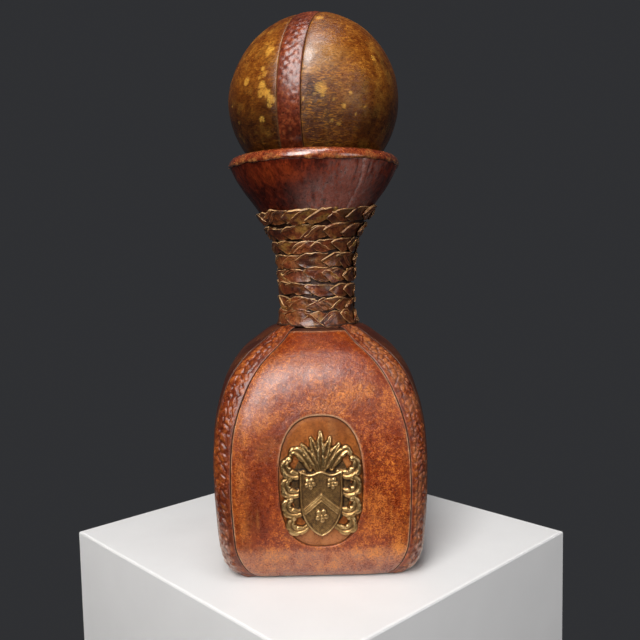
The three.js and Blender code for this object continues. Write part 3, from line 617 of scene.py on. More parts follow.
def front_panel():
    """The front panel: rings of points from the oval window out to the panel's edge."""
    n = 432
    t = (np.arange(n) + 0.5) / n * TAU
    c, s = np.cos(t), np.sin(t)
    ox = OVAL_HX * np.sign(c) * np.abs(c) ** (2 / OVAL_N)
    oz = OVAL_Z + OVAL_HZ * np.sign(s) * np.abs(s) ** (2 / OVAL_N)
    # outer edge, walked anticlockwise from the middle of the right seam
    W = lambda z: half_face(z) - seam_front(z) - GAP
    right = np.linspace(OVAL_Z, PANEL_TOP, 140)
    left = np.linspace(PANEL_TOP, PANEL_LOW, 220)
    right2 = np.linspace(PANEL_LOW, OVAL_Z, 90)
    wt, wb = float(W(PANEL_TOP)), float(W(PANEL_LOW))
    top = np.stack([np.linspace(wt, -wt, 40), np.full(40, PANEL_TOP)], -1)
    bot = np.stack([np.linspace(-wb, wb, 120), np.full(120, PANEL_LOW)], -1)
    walk = np.concatenate([np.stack([W(right), right], -1), top[1:-1], np.stack([-W(left), left], -1), bot[1:-1],
                           np.stack([W(right2), right2], -1)])
    # match each spoke to the edge by direction from the oval's middle, so spokes fan out evenly
    ang = np.unwrap(np.arctan2((walk[:, 1] - OVAL_Z), walk[:, 0] * 1.15))
    ang[0], ang[-1] = 0.0, TAU
    spoke = np.unwrap(np.arctan2((oz - OVAL_Z) * 0.78, ox))
    d = np.r_[0, np.cumsum(np.linalg.norm(np.diff(walk, axis=0), axis=1))]
    at = np.interp(spoke, ang, d)
    bx, bz = np.interp(at, d, walk[:, 0]), np.interp(at, d, walk[:, 1])
    # put the nearest spokes exactly on the four corners
    for q in ((wt, PANEL_TOP), (-wt, PANEL_TOP), (-wb, PANEL_LOW), (wb, PANEL_LOW)):
        k = int(np.argmin((bx - q[0]) ** 2 + (bz - q[1]) ** 2))
        bx[k], bz[k] = q
    L = np.hypot(bx - ox, bz - oz)
    rows = []
    m = 52
    for j in range(len(EDGE)):
        rows.append(EDGE[j] / L)
    for f in np.linspace(0, 1, m)[1:-1]:
        rows.append((2.0 + f * (L - 4.0)) / L)
    for j in range(len(EDGE) - 1, -1, -1):
        rows.append(1 - EDGE[j] / L)
    R = np.stack(rows)                       # (rows, n)
    A = ox + (bx - ox) * R
    Z = oz + (bz - oz) * R
    P, N = face_points("front", A, Z)
    e_in = R * L
    e_seam = np.maximum(half_face(Z) - seam_front(Z) - GAP - np.abs(A), 0)
    e_out = np.minimum(e_seam, np.maximum(Z - PANEL_LOW, 0))
    h = -np.maximum(roll(e_in, 0.7), roll(e_out, 0.65)) + lump(P)
    h += 0.06 * (2 * fbm(P[..., 0] / 3, P[..., 1] / 3, P[..., 2] / 3, 3, 8) - 1)
    h += 0.16 * np.exp(-((e_in - 2.2) / 2.2) ** 2) - 0.25 * np.exp(-(e_out / 2.5) ** 2)
    h -= 0.75 * smooth(128.9, 129.7, Z)      # pared down where the neck binding starts
    topP = P + N * h[..., None]
    lowP = P - N * 2.05
    e = np.minimum(e_in, e_out)
    wear_and_sheen, dark, edge, floor_sheen = panel_marks("front", A, Z, e)
    # light cut edge: strong on the right seam high up, thin on the left, and along the top
    edge = edge * np.where(A > 0, 1.05 + 0.30 * smooth(80, 105, Z), 0.75 - 0.40 * smooth(85, 105, Z) + 0.40 * smooth(52, 30, Z))
    edge = np.maximum(edge, 0.95 * np.exp(-((Z - 128.85) / 0.24) ** 2) * smooth(-0.3, 0.6, e_seam))
    # round the oval the cut edge is light mostly on its upper part: a real cut edge, lighter above by painted light
    edge = np.maximum(edge * (e_out < e_in),
                      np.exp(-((e_in - 0.40) / 0.55) ** 2) * (0.12 + 1.1 * smooth(52, 82, Z)))
    dark = np.maximum(dark, 0.30 * np.exp(-((e_in - 2.4) / 1.0) ** 2))
    low_left = blob(A, Z, -35, 31, 10, 7)
    dark, floor_sheen = np.clip(dark + 0.45 * low_left, 0, 1), floor_sheen * (1 - 0.7 * np.maximum(low_left, blob(A, Z, -39, 42, 8, 16)))
    nr = len(rows)
    M = nr * n
    F1 = quads(nr, n, False, True)
    F2 = quads(nr, n, False, True, M)[:, ::-1]
    i = np.arange(n)
    j = (i + 1) % n
    F3 = np.stack([i, i + M, j + M, j], -1)
    o = (nr - 1) * n
    F4 = np.stack([o + i, o + j, o + j + M, o + i + M], -1)
    # most polished along the shoulder, up and to the left of the oval, and at the foot
    polish = np.maximum.reduce([0.8 * blob(A, Z, -36, 90, 8, 6), blob(A, Z, -28, 94, 10, 7.5), blob(A, Z, -17, 101.5, 11, 8), blob(A, Z, -6, 106, 12, 6.5),
                                blob(A, Z, 5, 108, 9, 5.5), 0.30 * smooth(24, 14, Z)])
    # deep: painted shade in the seams and round the oval, and a painted shadow under the neck plaits along the top
    at = {"wear_and_sheen": (wear_and_sheen, 0.0), "dark": (dark, 0.0), "edge": (edge, 0.6), "warm": (floor_sheen, 0.0), "polish": (polish, 0.0),
          "groove_shade": (np.maximum(np.clip(1 - e / np.where((e_out < e_in) & (A < 0), 0.13 + 0.14 * smooth(40, 60, Z), 0.13), 0, 1) * 0.85 * np.where(e_in < e_out, 0.3 + 0.7 * smooth(35, 75, Z), 1.0),
                              0.9 * smooth(129.2, 129.7, Z)), 1.0)}
    at = {k: np.concatenate([a.ravel(), np.full(M, b)]) for k, (a, b) in at.items()}
    ob = make("front_panel_leather", np.concatenate([topP.reshape(-1, 3), lowP.reshape(-1, 3)]), [F1, F2, F3, F4], m_panel, at)
    return use(ob, "bottle", "red_leather", "front_panel")


def tooling(u, s, pitch, seed):
    """Stamped leather: lumps in rows that point upwards in the middle, narrow grooves
    between them and crescent dents down the middle. Returns how far a point is from
    the grooves in mm, how far it is up its lump, the dents and the lump's tone, 0 to 1.
    u is across and s along, both in mm."""
    f1 = np.full(u.shape, 1e9)
    f2 = f1.copy()
    lean, tone = np.zeros_like(u), np.zeros_like(u)
    wide = pitch * 0.86
    v = s + 0.55 * np.abs(u)
    i0, k0 = np.floor(u / wide), np.floor(v / pitch)
    for di in (-1, 0, 1):
        i = i0 + di
        for dk in (-2, -1, 0, 1, 2):
            k = k0 + dk
            j1, j2, j3 = (_hash(i, k, k * 0 + q, seed) - 0.5 for q in range(3))
            du = u - (i + 0.5 + 0.62 * j1) * wide
            dv = v - (k + 0.5 + 0.70 * j2 + 0.5 * (i % 2)) * pitch
            d = np.hypot(du / (1.0 + 0.5 * j3), dv * (0.92 + 0.4 * j3))
            near = d < f1
            f2 = np.where(near, f1, np.minimum(f2, d))
            lean, tone = np.where(near, dv, lean), np.where(near, j3 + 0.5, tone)
            f1 = np.minimum(f1, d)
    dent = np.zeros_like(u)
    step = 7.5
    k0 = np.floor(s / step)
    for dk in (-1, 0, 1):
        k = k0 + dk
        j1, j2, j3 = (_hash(k, k * 0 + 9, k * 0 + q, seed) - 0.5 for q in range(3))
        a = (u - 2.4 * j1) / 1.15
        b = (s - (k + 0.5 + 0.3 * j2) * step) / 0.85 + 0.35 * a * a
        dent = np.maximum(dent, np.exp(-(a * a + b * b) ** 1.4) * (0.75 + 0.5 * j3))
    return f2 - f1, lean, dent, tone


def corner_strip(corner):
    nz, nu = (300, 34) if corner.startswith("back") else (370, 40)
    zs = np.linspace(PANEL_LOW, PANEL_TOP, 4001)
    # even steps along the diagonal's own curve
    P, _ = corner_points(corner, np.zeros_like(zs), zs)
    d = np.r_[0, np.cumsum(np.linalg.norm(np.diff(P, axis=0), axis=1))]
    s = np.concatenate([EDGE[:6], np.linspace(1.0, d[-1] - 0.3, nz), [d[-1]]])
    z = np.interp(s, d, zs)
    cw_front = corner in ("front_right", "back_left")       # the clockwise face is a front/back face
    lo = (seam_front if cw_front else seam_side)(z) - GAP
    hi = (seam_side if cw_front else seam_front)(z) - GAP
    f = np.linspace(0, 1, nu)
    w = lo + hi
    cols = np.concatenate([EDGE[None, :] * np.ones((len(z), 1)), 2.5 + f[None, :] * (w[:, None] - 5.0), (w[:, None] - EDGE[None, ::-1])], 1)
    off = cols - lo[:, None]
    Z = np.broadcast_to(z[:, None], off.shape)
    S = np.broadcast_to(s[:, None], off.shape)
    P, N = corner_points(corner, off, Z)
    e = np.minimum(np.minimum(cols, w[:, None] - cols), Z - PANEL_LOW)
    u = cols - w[:, None] / 2
    uu = u * (7.1 / (w[:, None] / 2))
    seed = {"front_right": 5, "back_right": 6, "back_left": 7, "front_left": 9}[corner]
    right_hand = corner in ("front_right", "back_left")
    warp_u = uu + 1.3 * (fbm(uu / 4, S / 4, 0.3, 3, seed + 1) - 0.5)
    warp_s = S + 1.7 * (fbm(uu / 5, S / 5, 0.8, 3, seed) - 0.5)
    gap, lean, dent, tone = tooling(warp_u, warp_s, 4.1 if right_hand else 4.9, seed)
    # low down the lobes give way to slanting cuts
    out = uu if right_hand else -uu
    hatch = np.abs(((warp_s * 0.80 - out * 0.60) / 3.5) % 1 - 0.5) * 2 * 1.3
    low_part = smooth(46, 26, Z + 10 * (fbm(uu / 7, S / 9, 0.5, 2, seed + 9) - 0.5)) * smooth(-3.0, 0.5, out)
    gap = gap * (1 - low_part) + hatch * low_part
    field = smooth(5.7, 4.8, np.abs(uu))
    pad = 1 - np.exp(-(gap / 0.95) ** 1.15)
    relief = (0.55 if right_hand else 0.72) * (0.8 + 0.5 * (vnoise(S / 12, uu / 20, 0, seed + 40) - 0.3))
    h = -roll(e, 0.5) + 0.55 * (1 - (u / (w[:, None] / 2)) ** 2) - 0.22
    h += field * (relief * (pad * (1 + 0.35 * np.clip(lean / 2, -1, 1)) - 0.50) - 0.55 * dent + (0.26 if right_hand else 0.16) * (2 * fbm(uu / 0.9, S / 0.9, 0.0, 3, seed + 2) - 1))
    top = P + N * h[..., None]
    low = P - N * 2.05
    patch = smooth(0.36, 0.58, fbm(uu / 6, S / 9, 0.9, 3, seed + 5))
    wear_and_sheen = np.clip((0.55 + 0.35 * right_hand) * smooth(0.5, 1.0, pad) * field * (0.25 + 0.9 * fbm(uu / 3, S / 3, 0.2, 3, seed + 4)) * patch, 0, 1)
    groove = smooth(0.70, 0.15, gap) * field
    wear_and_sheen = wear_and_sheen * (0.35 + 0.9 * tone)
    # darker in the dents and grooves: painted shade; the per-lump tone and the blotches are the leather's own
    dark = np.clip(0.95 * dent * field + 0.80 * groove + 0.40 * smooth(0.45, 0.0, tone) * field + 0.30 * smooth(0.52, 0.75, fbm(uu / 8, S / 12, 0.4, 3, seed + 6)), 0, 1)
    dark = np.maximum(dark, 0.50 * smooth(4.9, 5.6, np.abs(uu)) * smooth(0.25, 0.60, fbm(uu / 5, S / 7, 0.2, 3, seed + 8)))
    edge = 0.25 * np.exp(-(e / 0.4) ** 2) * smooth(5.0, 2.0, out)
    # painted shade along the outer side, towards the side panel, where the cut edge above is also left out
    far = 0.75 + 0.15 * smooth(85, 100, Z) if right_hand else 0.35 + 0.35 * smooth(85, 105, Z)
    dark = np.maximum(dark, far * smooth(2.0, 6.5, out))
    if not right_hand:
        dark = np.maximum(dark, 0.85 * smooth(64, 36, Z) * smooth(4.0, 0.0, out))
    edge = np.maximum(edge, 1.50 * smooth(50, 20, Z) * smooth(0.3, 3.3, out))   # paler low down on the outer side: painted reflection of the table
    fleck_noise = fbm(uu / 1.6, S / 2.6, 0.3, 3, seed + 14)
    # pale flecks low down: painted sheen
    edge = np.maximum(edge, 0.85 * smooth(38, 15, Z) * smooth(-6.0, 0.0, out) * smooth(0.42, 0.60, fleck_noise) * (1 - np.clip(dent, 0, 1)))
    dark = np.maximum(dark, 0.95 * smooth(50, 28, Z) * smooth(0.54, 0.40, fleck_noise))
    # lighter along the outer side of these strips at mid height: painted light from the left
    if not right_hand:
        wear_and_sheen = np.maximum(wear_and_sheen, 0.55 * smooth(2.5, 6.0, out) * smooth(46, 58, Z) * smooth(98, 86, Z))
    warm = (0.75 if right_hand else 0.0) * field * smooth(0.30, 0.62, fbm(uu / 5, S / 8, 0.7, 3, seed + 12))
    ob = slab("corner_strip_leather_" + corner, top, low, m_strip,
              {"wear_and_sheen": (wear_and_sheen, 0.0), "dark": (dark, 0.0), "edge": (edge * 0.7, 0.5), "warm": (warm, 0.0), "groove_shade": (np.clip(1 - e / np.where((out > 3) & (Z > 40), 0.75, 0.22), 0, 1) * 0.85, 1.0)})
    return use(ob, "bottle", "tooled_leather", "corner_strip_" + corner)


front_panel()
for f_ in ("back", "left", "right"):
    solid_panel(f_)
for c_ in ("front_left", "front_right", "back_left", "back_right"):
    corner_strip(c_)


# ------------------------------------------------------------------- base pad
def base_pad():
    n = 160
    t = np.arange(n) / n * TAU
    prof = [(0.0, 0.05), (0.5, 0.05), (0.96, 0.0), (0.985, 0.12), (1.0, 0.6), (1.0, 1.9), (0.985, 2.35), (0.96, 2.5), (0.5, 2.5), (0.0, 2.5)]
    V = []
    for f, z in prof[1:-1]:
        r = 45.8 * f * square_r(t, 6)
        V.append(np.stack([r * np.cos(t), r * np.sin(t), np.full(n, z)], -1))
    V = np.concatenate([np.concatenate(V), [[0, 0, 0.05], [0, 0, 2.5]]])
    k = len(prof) - 2
    F = quads(k, n, False, True)
    i = np.arange(n)
    j = (i + 1) % n
    lo, hi = k * n, k * n + 1
    c1 = np.stack([np.full(n, lo), j, i], -1)
    c2 = np.stack([np.full(n, hi), (k - 1) * n + i, (k - 1) * n + j], -1)
    z0 = np.zeros(len(V))
    ob = make("base_pad_leather", V, [F, c1, c2], m_dark, {"wear_and_sheen": z0, "dark": z0, "edge": z0 + 0.2, "groove_shade": z0})
    return use(ob, "bottle", "dark_leather", "base_pad")


base_pad()


# ------------------------------------------------------------ inlay and badge
def on_front(x, z, lift):
    """Point over the body's front at (x, z), lift mm out from the leather's surface."""
    P, N = face_points("front", x, z)
    return P + N * np.asarray(lift)[..., None]


def inlay():
    n, m = 240, 34
    t = np.arange(n) / n * TAU
    c, s = np.cos(t), np.sin(t)
    ox = (OVAL_HX - 0.12) * np.sign(c) * np.abs(c) ** (2 / OVAL_N)
    oz = (OVAL_HZ - 0.12) * np.sign(s) * np.abs(s) ** (2 / OVAL_N)
    f = np.concatenate([np.linspace(0.04, 0.9, m - 8), 1 - np.array([0.08, 0.06, 0.045, 0.03, 0.018, 0.009, 0.003, 0.0])])
    X, Z = ox[None] * f[:, None], OVAL_Z + oz[None] * f[:, None]
    e = (1 - f)[:, None] * np.hypot(ox, oz)[None]
    h = -INLAY_SINK - 0.30 * np.exp(-(e / 1.3) ** 2)
    h = h + 0.10 * (2 * fbm(X / 7, Z / 7, 0.4, 3, 21) - 1)
    top = on_front(X, Z, h)
    low = on_front(X, Z, np.full_like(X, -INLAY_SINK - 1.15))
    tip = on_front(np.array([0.0, 0.0]), np.array([OVAL_Z, OVAL_Z]), np.array([-INLAY_SINK, -INLAY_SINK - 1.15]))
    M = len(f) * n
    V = np.concatenate([top.reshape(-1, 3), low.reshape(-1, 3), tip])
    i = np.arange(n)
    j = (i + 1) % n
    o = (len(f) - 1) * n
    F = [quads(len(f), n, False, True), quads(len(f), n, False, True, M)[:, ::-1],
         np.stack([o + i, o + j, o + j + M, o + i + M], -1),
         np.stack([np.full(n, 2 * M), j, i], -1), np.stack([np.full(n, 2 * M + 1), M + i, M + j], -1)]
    wear_and_sheen = 0.35 * smooth(0.5, 0.7, fbm(X / 6, Z / 9, 0.1, 4, 25))
    # darker along the rim, under the window's edge: painted shade
    dark = np.maximum(0.6 * np.exp(-(e / 0.9) ** 2), 0.25 * smooth(0.52, 0.75, fbm(X / 8, Z / 8, 0.5, 4, 27)))
    # paler low down: painted sheen, a reflection of the floor
    warm = 0.8 * smooth(34, 23, Z + 3 * (fbm(X / 8, Z / 8, 0.2, 3, 29) - 0.5))
    at = {"wear_and_sheen": wear_and_sheen, "dark": dark * (1 - 0.5 * warm), "edge": 0 * e, "warm": warm, "groove_shade": np.clip(1 - e / 0.35, 0, 1) * 0.5}
    at = {k: np.concatenate([np.asarray(v).ravel(), np.zeros(M), [0, 0]]) for k, v in at.items()}
    ob = make("badge_inlay_leather", V, F, m_inlay, at)
    return use(ob, "bottle", "tan_leather", "badge_inlay")


inlay()


def bezier(p, n=40):
    p = np.asarray(p, float)
    t = np.linspace(0, 1, n)[:, None]
    if len(p) == 3:
        return (1 - t) ** 2 * p[0] + 2 * t * (1 - t) * p[1] + t * t * p[2]
    return (1 - t) ** 3 * p[0] + 3 * t * (1 - t) ** 2 * p[1] + 3 * t * t * (1 - t) * p[2] + t ** 3 * p[3]


def badge():
    """Cast badge: a shield with a chevron and three rosettes, leaf scrolls at its
    sides and a fan of leaves above. Relief as a height over the inlay."""
    step = 0.195
    xs = np.arange(-20.6, 20.6 + step, step)
    zs = np.arange(-29.0, 29.0 + step, step)
    X, Z = np.meshgrid(xs, zs)                  # about the badge's middle
    H = np.zeros_like(X)
    D = np.full_like(X, 9.0)                    # signed distance to the outline

    def leaf(pts, wide, top, lobes=4, base=0.75, curl=0.5):
        """Acanthus leaf on a curved midrib: scalloped edge, veins, a curled tip."""
        nonlocal H, D
        for mirror in (1, -1):
            c = bezier(pts, 60) * np.array([mirror, 1.0])
            best = np.full(X.shape, 1e9)
            tb = np.zeros_like(X)
            sg = np.zeros_like(X)
            for k in range(len(c)):
                d = np.hypot(X - c[k, 0], Z - c[k, 1])
                m = d < best
                best = np.where(m, d, best)
                tb = np.where(m, k / (len(c) - 1), tb)
                a = c[min(k + 1, len(c) - 1)] - c[max(k - 1, 0)]
                sg = np.where(m, np.sign(a[0] * (Z - c[k, 1]) - a[1] * (X - c[k, 0])), sg)
            w = wide * (0.34 + 0.66 * np.sin(math.pi * np.clip(tb * 0.90 + 0.05, 0, 1)) ** 0.8)
            vein = np.abs(np.sin(math.pi * (lobes * tb + 0.25 * sg)))
            w = w * (0.80 + 0.24 * vein ** 0.7)
            q = np.clip(best / w, 0, 2)
            ridge = np.clip(1 - ((q - 0.48) / 0.60) ** 2, 0, 1) ** 0.8
            hh = base + top * ridge * (0.60 + 0.40 * np.sin(math.pi * np.clip(tb, 0, 1))) + curl * smooth(0.60, 0.95, tb) * np.clip(1 - q * q, 0, 1)
            hh = hh - 0.30 * np.exp(-(vein / 0.30) ** 2) * smooth(0.25, 0.7, q)
            H = np.where(q < 1, np.maximum(H, hh), H)
            D = np.minimum(D, best - w)

    def boss(x, z, r, top):
        nonlocal H, D
        for mirror in (1, -1):
            d = np.hypot(X - mirror * x, Z - z)
            H = np.where(d < r, np.maximum(H, 0.9 + top * np.sqrt(np.clip(1 - (d / r) ** 2, 0, 1))), H)
            D = np.minimum(D, d - r)

    # scrolling leaves at the sides, from low to high, and small berries between them
    leaf([(7.5, -21.5), (13.5, -27.0), (18.4, -21.0), (14.6, -16.6)], 3.3, 1.5, 3)
    leaf([(9.0, -12.5), (16.5, -17.5), (21.0, -10.0), (16.0, -6.6)], 3.5, 1.6, 3)
    leaf([(10.0, -2.5), (17.0, -7.0), (21.6, 1.0), (16.3, 4.2)], 3.5, 1.7, 3)
    leaf([(9.0, 7.0), (16.0, 3.0), (21.8, 10.5), (16.2, 14.4)], 3.4, 1.7, 3)
    leaf([(5.5, 9.0), (8.0, 15.0), (13.4, 22.0), (15.4, 16.6)], 2.9, 1.6, 3)
    boss(14.2, -16.9, 1.6, 1.5)
    boss(15.7, -6.9, 1.7, 1.6)
    boss(16.0, 4.0, 1.7, 1.6)
    boss(15.9, 14.1, 1.6, 1.6)
    # fan above the shield
    leaf([(1.5, 8.0), (5.0, 15.5), (9.4, 21.4)], 2.5, 1.6, 3)
    leaf([(0.8, 8.0), (2.4, 17.0), (4.9, 24.8)], 2.4, 1.7, 3)
    leaf([(0.0, 8.0), (0.05, 18.0), (0.0, 27.6)], 2.6, 2.1, 3)

    # shield
    top_z, half, tall = 7.8, 11.3, 34.6
    zz = np.clip((top_z - Z) / tall, 0, 1)
    v = np.clip((zz - 0.34) / 0.66, 0, 1)
    hw = half * (1 - v ** 2.5) ** 0.66
    slope = np.minimum(half * 1.65 * v ** 1.5 / np.maximum(1 - v ** 2.5, 0.03) ** 0.34 / (0.66 * tall), 4.0)
    bow = top_z + 0.8 * np.cos(2 * math.pi * X / half) - 0.4      # waved upper edge
    sd = np.maximum((np.abs(X) - hw) / np.hypot(1, slope), Z - bow)
    field = 1.30 + 0.13 * np.cos(X / 0.55 * math.pi) * np.cos(Z / 0.55 * math.pi)
    rim = np.exp(-((sd + 0.85) / 0.52) ** 4)
    hs = field + 0.85 * rim
    # chevron with a bead down its middle
    cv = np.abs(Z + 6.0 + np.abs(X) * 0.85) * 0.76
    chev = smooth(1.75, 1.35, cv) * (sd < -1.5)
    hs = np.where(chev > 0.01, np.maximum(hs, 1.30 + 0.80 * chev - 0.35 * np.exp(-((cv - 0.75) / 0.22) ** 2)), hs)
    # rosettes
    for cx, cz, r0 in ((-5.7, 1.6, 3.2), (5.7, 1.6, 3.2), (0.0, -15.6, 3.7)):
        r = np.hypot(X - cx, Z - cz)
        th = np.arctan2(Z - cz, X - cx)
        pet = r0 * (0.70 + 0.30 * np.abs(np.cos(2.5 * th + 0.4)))
        q = r / pet
        hr = 1.30 + 1.15 * np.sqrt(np.clip(1 - (2 * q - 1.15) ** 2 * 0.8, 0, 1)) - 0.45 * np.exp(-(np.cos(2.5 * th + 0.4) / 0.25) ** 2) * (q > 0.35)
        hr = np.where(r < 0.95, 2.5 - 0.5 * (r / 0.95) ** 2, hr)
        hs = np.where(q < 1, np.maximum(hs, hr), hs)
    hs = np.where(sd > -0.35, hs * smooth(0.15, -0.4, sd) + 0.9 * (1 - smooth(0.15, -0.4, sd)), hs)
    H = np.where(sd < 0, hs, H)
    D = np.minimum(D, sd)

    # plate joining everything, low between the leaves
    plate = (np.hypot(X / 15.2, (Z + 1.5) / 21.5) - 1) * 13
    H = np.where(plate < 0, np.maximum(H, 0.62), H)
    D = np.minimum(D, plate)
    H = np.maximum(H, 0.5)
    H += 0.07 * (2 * fbm(X / 1.3, Z / 1.3, 0.0, 3, 33) - 1)

    # blur once so that the casting has no knife edges
    def blur(a, k):
        for _ in range(k):
            p = np.pad(a, 1, mode="edge")
            a = (p[1:-1, 1:-1] * 2 + p[:-2, 1:-1] + p[2:, 1:-1] + p[1:-1, :-2] + p[1:-1, 2:]) / 6
        return a
    D = blur(D, 2)
    Hs = blur(H, 2)
    cav = Hs - blur(Hs, 22)
    high = np.clip(0.42 + 0.55 * cav + 0.16 * (Hs - 1.3) + 0.22 * (fbm(X / 3.5, Z / 3.5, 0.3, 4, 35) - 0.5), 0, 1)

    gz, gx = np.gradient(D, step)
    g = np.maximum(np.hypot(gx, gz), 0.35)
    inside = D < step * 0.55
    # keep the joined set of cells that holds the middle cell
    cell = inside[:-1, :-1] & inside[1:, :-1] & inside[:-1, 1:] & inside[1:, 1:]
    lab = np.zeros(cell.shape, bool)
    lab[cell.shape[0] // 2, cell.shape[1] // 2] = True
    while True:
        p = np.pad(lab, 1)
        grow = (p[1:-1, 1:-1] | p[:-2, 1:-1] | p[2:, 1:-1] | p[1:-1, :-2] | p[1:-1, 2:]) & cell
        if grow.sum() == lab.sum():
            break
        lab = grow
    cell = lab
    used = np.zeros(X.shape, bool)
    for a, b in ((0, 0), (0, 1), (1, 0), (1, 1)):
        used[a:a + cell.shape[0], b:b + cell.shape[1]] |= cell
    count = np.zeros(X.shape, int)
    for a, b in ((0, 0), (0, 1), (1, 0), (1, 1)):
        count[a:a + cell.shape[0], b:b + cell.shape[1]] += cell
    border = used & (count < 4)
    mx = np.where(border, np.clip(-D * gx / g ** 2, -0.7 * step, 0.7 * step), 0)
    mz = np.where(border, np.clip(-D * gz / g ** 2, -0.7 * step, 0.7 * step), 0)
    XX, ZZ = X + mx, Z + mz
    Hs = np.where(border, np.maximum(Hs * 0.7, 0.4), Hs)
    idx = -np.ones(X.shape, int)
    idx[used] = np.arange(used.sum())
    n = int(used.sum())
    x, z, h = XX[used], ZZ[used] + BADGE_Z, Hs[used]
    back = -INLAY_SINK + 0.05
    top = on_front(x, z, back + 0.10 + h)
    low = on_front(x, z, np.full(n, back))
    r, c = np.nonzero(cell)
    q = np.stack([idx[r, c], idx[r, c + 1], idx[r + 1, c + 1], idx[r + 1, c]], -1)
    # walls round the outline
    e = np.concatenate([q[:, [0, 1]], q[:, [1, 2]], q[:, [2, 3]], q[:, [3, 0]]])
    key = np.sort(e, 1)
    _, inv, cnt = np.unique(key, axis=0, return_inverse=True, return_counts=True)
    b = e[cnt[inv.ravel()] == 1]
    wall = np.stack([b[:, 1], b[:, 0], b[:, 0] + n, b[:, 1] + n], -1)
    hi = high[used]
    ob = make("badge_brass", np.concatenate([top, low]), [q, q[:, ::-1] + n, wall], m_brass,
              {"high": np.concatenate([hi, np.full(n, 0.1)])})
    return use(ob, "bottle", "brass", "badge")


badge()


# ------------------------------------------------------------ neck and funnel
def shell_profile(z0, z1, out, thick, step=0.8, edge_r=0.5):
    """Closed loop round a skin that follows the neck's profile."""
    z = np.linspace(z0, z1, max(3, int((z1 - z0) / step)))
    line = np.stack([neck_r(z), z], -1)
    nn = normals2(line)
    o = line + nn * out
    i = line + nn * (out - thick)
    # rounded outer edges
    d = np.r_[0, np.cumsum(np.linalg.norm(np.diff(o, axis=0), axis=1))]
    e = np.minimum(d, d[-1] - d)
    o = o - nn * roll(e, edge_r)[:, None]
    return np.concatenate([o, i[::-1]]), len(z)


def sleeve():
    prof, k = shell_profile(131.5, 189.6, -0.1, 1.5)
    # the foot is turned out over the tops of the panels
    r = float(neck_r(131.5)) - 0.1
    foot = np.array([[r + 2.2, 131.06], [r + 2.45, 131.25], [r + 2.2, 131.50], [r + 1.2, 131.85], [r + 0.45, 132.4]])
    side = prof[:k][prof[:k, 1] > 132.7]
    prof = np.concatenate([foot, side, prof[k:]])
    k = len(foot) + len(side)

    def move(ph, R, Z):
        return R + 0.12 * (2 * fbm(ph * 5, Z / 4, 0.0, 3, 41) - 1) * (np.arange(R.shape[1])[None] < k), Z
    z = np.zeros(len(prof))
    ob = lathe_loop("neck_sleeve_leather", prof, 128, m_dark, {"wear_and_sheen": z, "dark": z + 0.3, "edge": z, "groove_shade": z}, move)
    return use(ob, "bottle", "dark_leather", "neck_sleeve")


SEAM_AZ = math.radians(34)


def funnel():
    prof, k = shell_profile(190.2, 219.9, 0.0, 1.7, 0.55)
    npt = len(prof)
    out = (np.arange(npt) < k).astype(float)

    def wrap(ph):
        return (ph - SEAM_AZ + math.pi) % TAU - math.pi

    def seam_at(ph, Z):
        return wrap(ph) - 0.05 * np.sin((Z - 195) / 8) + 0.02

    def move(ph, R, Z):
        d = seam_at(ph, Z) * 42
        step = 0.42 * smooth(-0.25, 0.25, d) * np.exp(-np.clip(d, 0, None) / 9) - 0.25 * np.exp(-((d + 0.35) / 0.5) ** 2)
        crease = 0.16 * (2 * fbm(np.sin(ph) * 9 + 4, np.cos(ph) * 9, Z / 16, 4, 51) - 1)
        fine = 0.05 * (2 * fbm(np.sin(ph) * 30, np.cos(ph) * 30, Z / 6, 3, 52) - 1)
        return R + out * (step + crease + fine), Z

    # pale patches, most on the right: scuffs, and a painted sheen, the reflection of the table
    def wear_and_sheen(ph, R, Z):
        a = (ph + math.pi) % TAU - math.pi
        s = 1.0 * blob(a, Z, 0.32, 198, np.where(a < 0.32, 0.38, 0.50), 9.5) ** 0.8 * smooth(0.26, 0.52, 0.6 * fbm(a * 6, Z / 6, 0.2, 4, 55) + 0.4 * fbm(a * 34, Z / 8, 0.9, 3, 59))
        s = np.maximum(s, 1.0 * blob(a, Z, 0.54, 211, 0.24, 10) ** 0.6 * smooth(0.34, 0.56, 0.5 * fbm(a * 10, Z / 5, 0.6, 4, 56) + 0.5 * fbm(a * 30, Z / 9, 0.3, 3, 60)))
        s = np.maximum(s, 0.8 * blob(a, Z, 0.66, 203, 0.17, 8))
        s = np.maximum(s, 0.25 * smooth(0.56, 0.74, fbm(np.sin(a) * 9, np.cos(a) * 9, Z / 6, 4, 57)) * smooth(0.0, 0.3, a))
        return np.clip(s, 0, 1) * out

    def dark(ph, R, Z):
        a = (ph + math.pi) % TAU - math.pi
        d = 0.44 * smooth(212, 205, Z) * smooth(0.10, -0.30, a) + 0.25 * smooth(0.1, -0.3, a) + 0.18 * smooth(-0.7, -1.2, a) + 0.38 * smooth(0.78, 1.0, a) * smooth(215, 210, Z)
        d = d + 0.34 * blob(a, Z, 0.04, 209.5, 0.26, 5.0)
        # dark line beside the lapped seam: painted shade under the overlap
        d = np.maximum(d, 0.9 * np.exp(-((seam_at(ph, Z) * 42 + 0.4) / 0.5) ** 2))
        return np.clip(d, 0, 1)
    def warm(ph, R, Z):
        a = (ph + math.pi) % TAU - math.pi
        w = blob(a, Z, -0.48, 212.5, 0.58, 5.5)
        return np.clip(w * (0.40 + 0.8 * smooth(0.38, 0.62, fbm(np.sin(ph) * 9 + 2, np.cos(ph) * 9, Z / 7, 4, 58))), 0, 1) * out
    z = np.zeros(npt)
    ob = lathe_loop("funnel_cover_leather", prof, 320, m_funnel, {"wear_and_sheen": wear_and_sheen, "dark": dark, "edge": z, "groove_shade": z, "warm": warm}, move)
    return use(ob, "bottle", "funnel_leather", "funnel_cover")


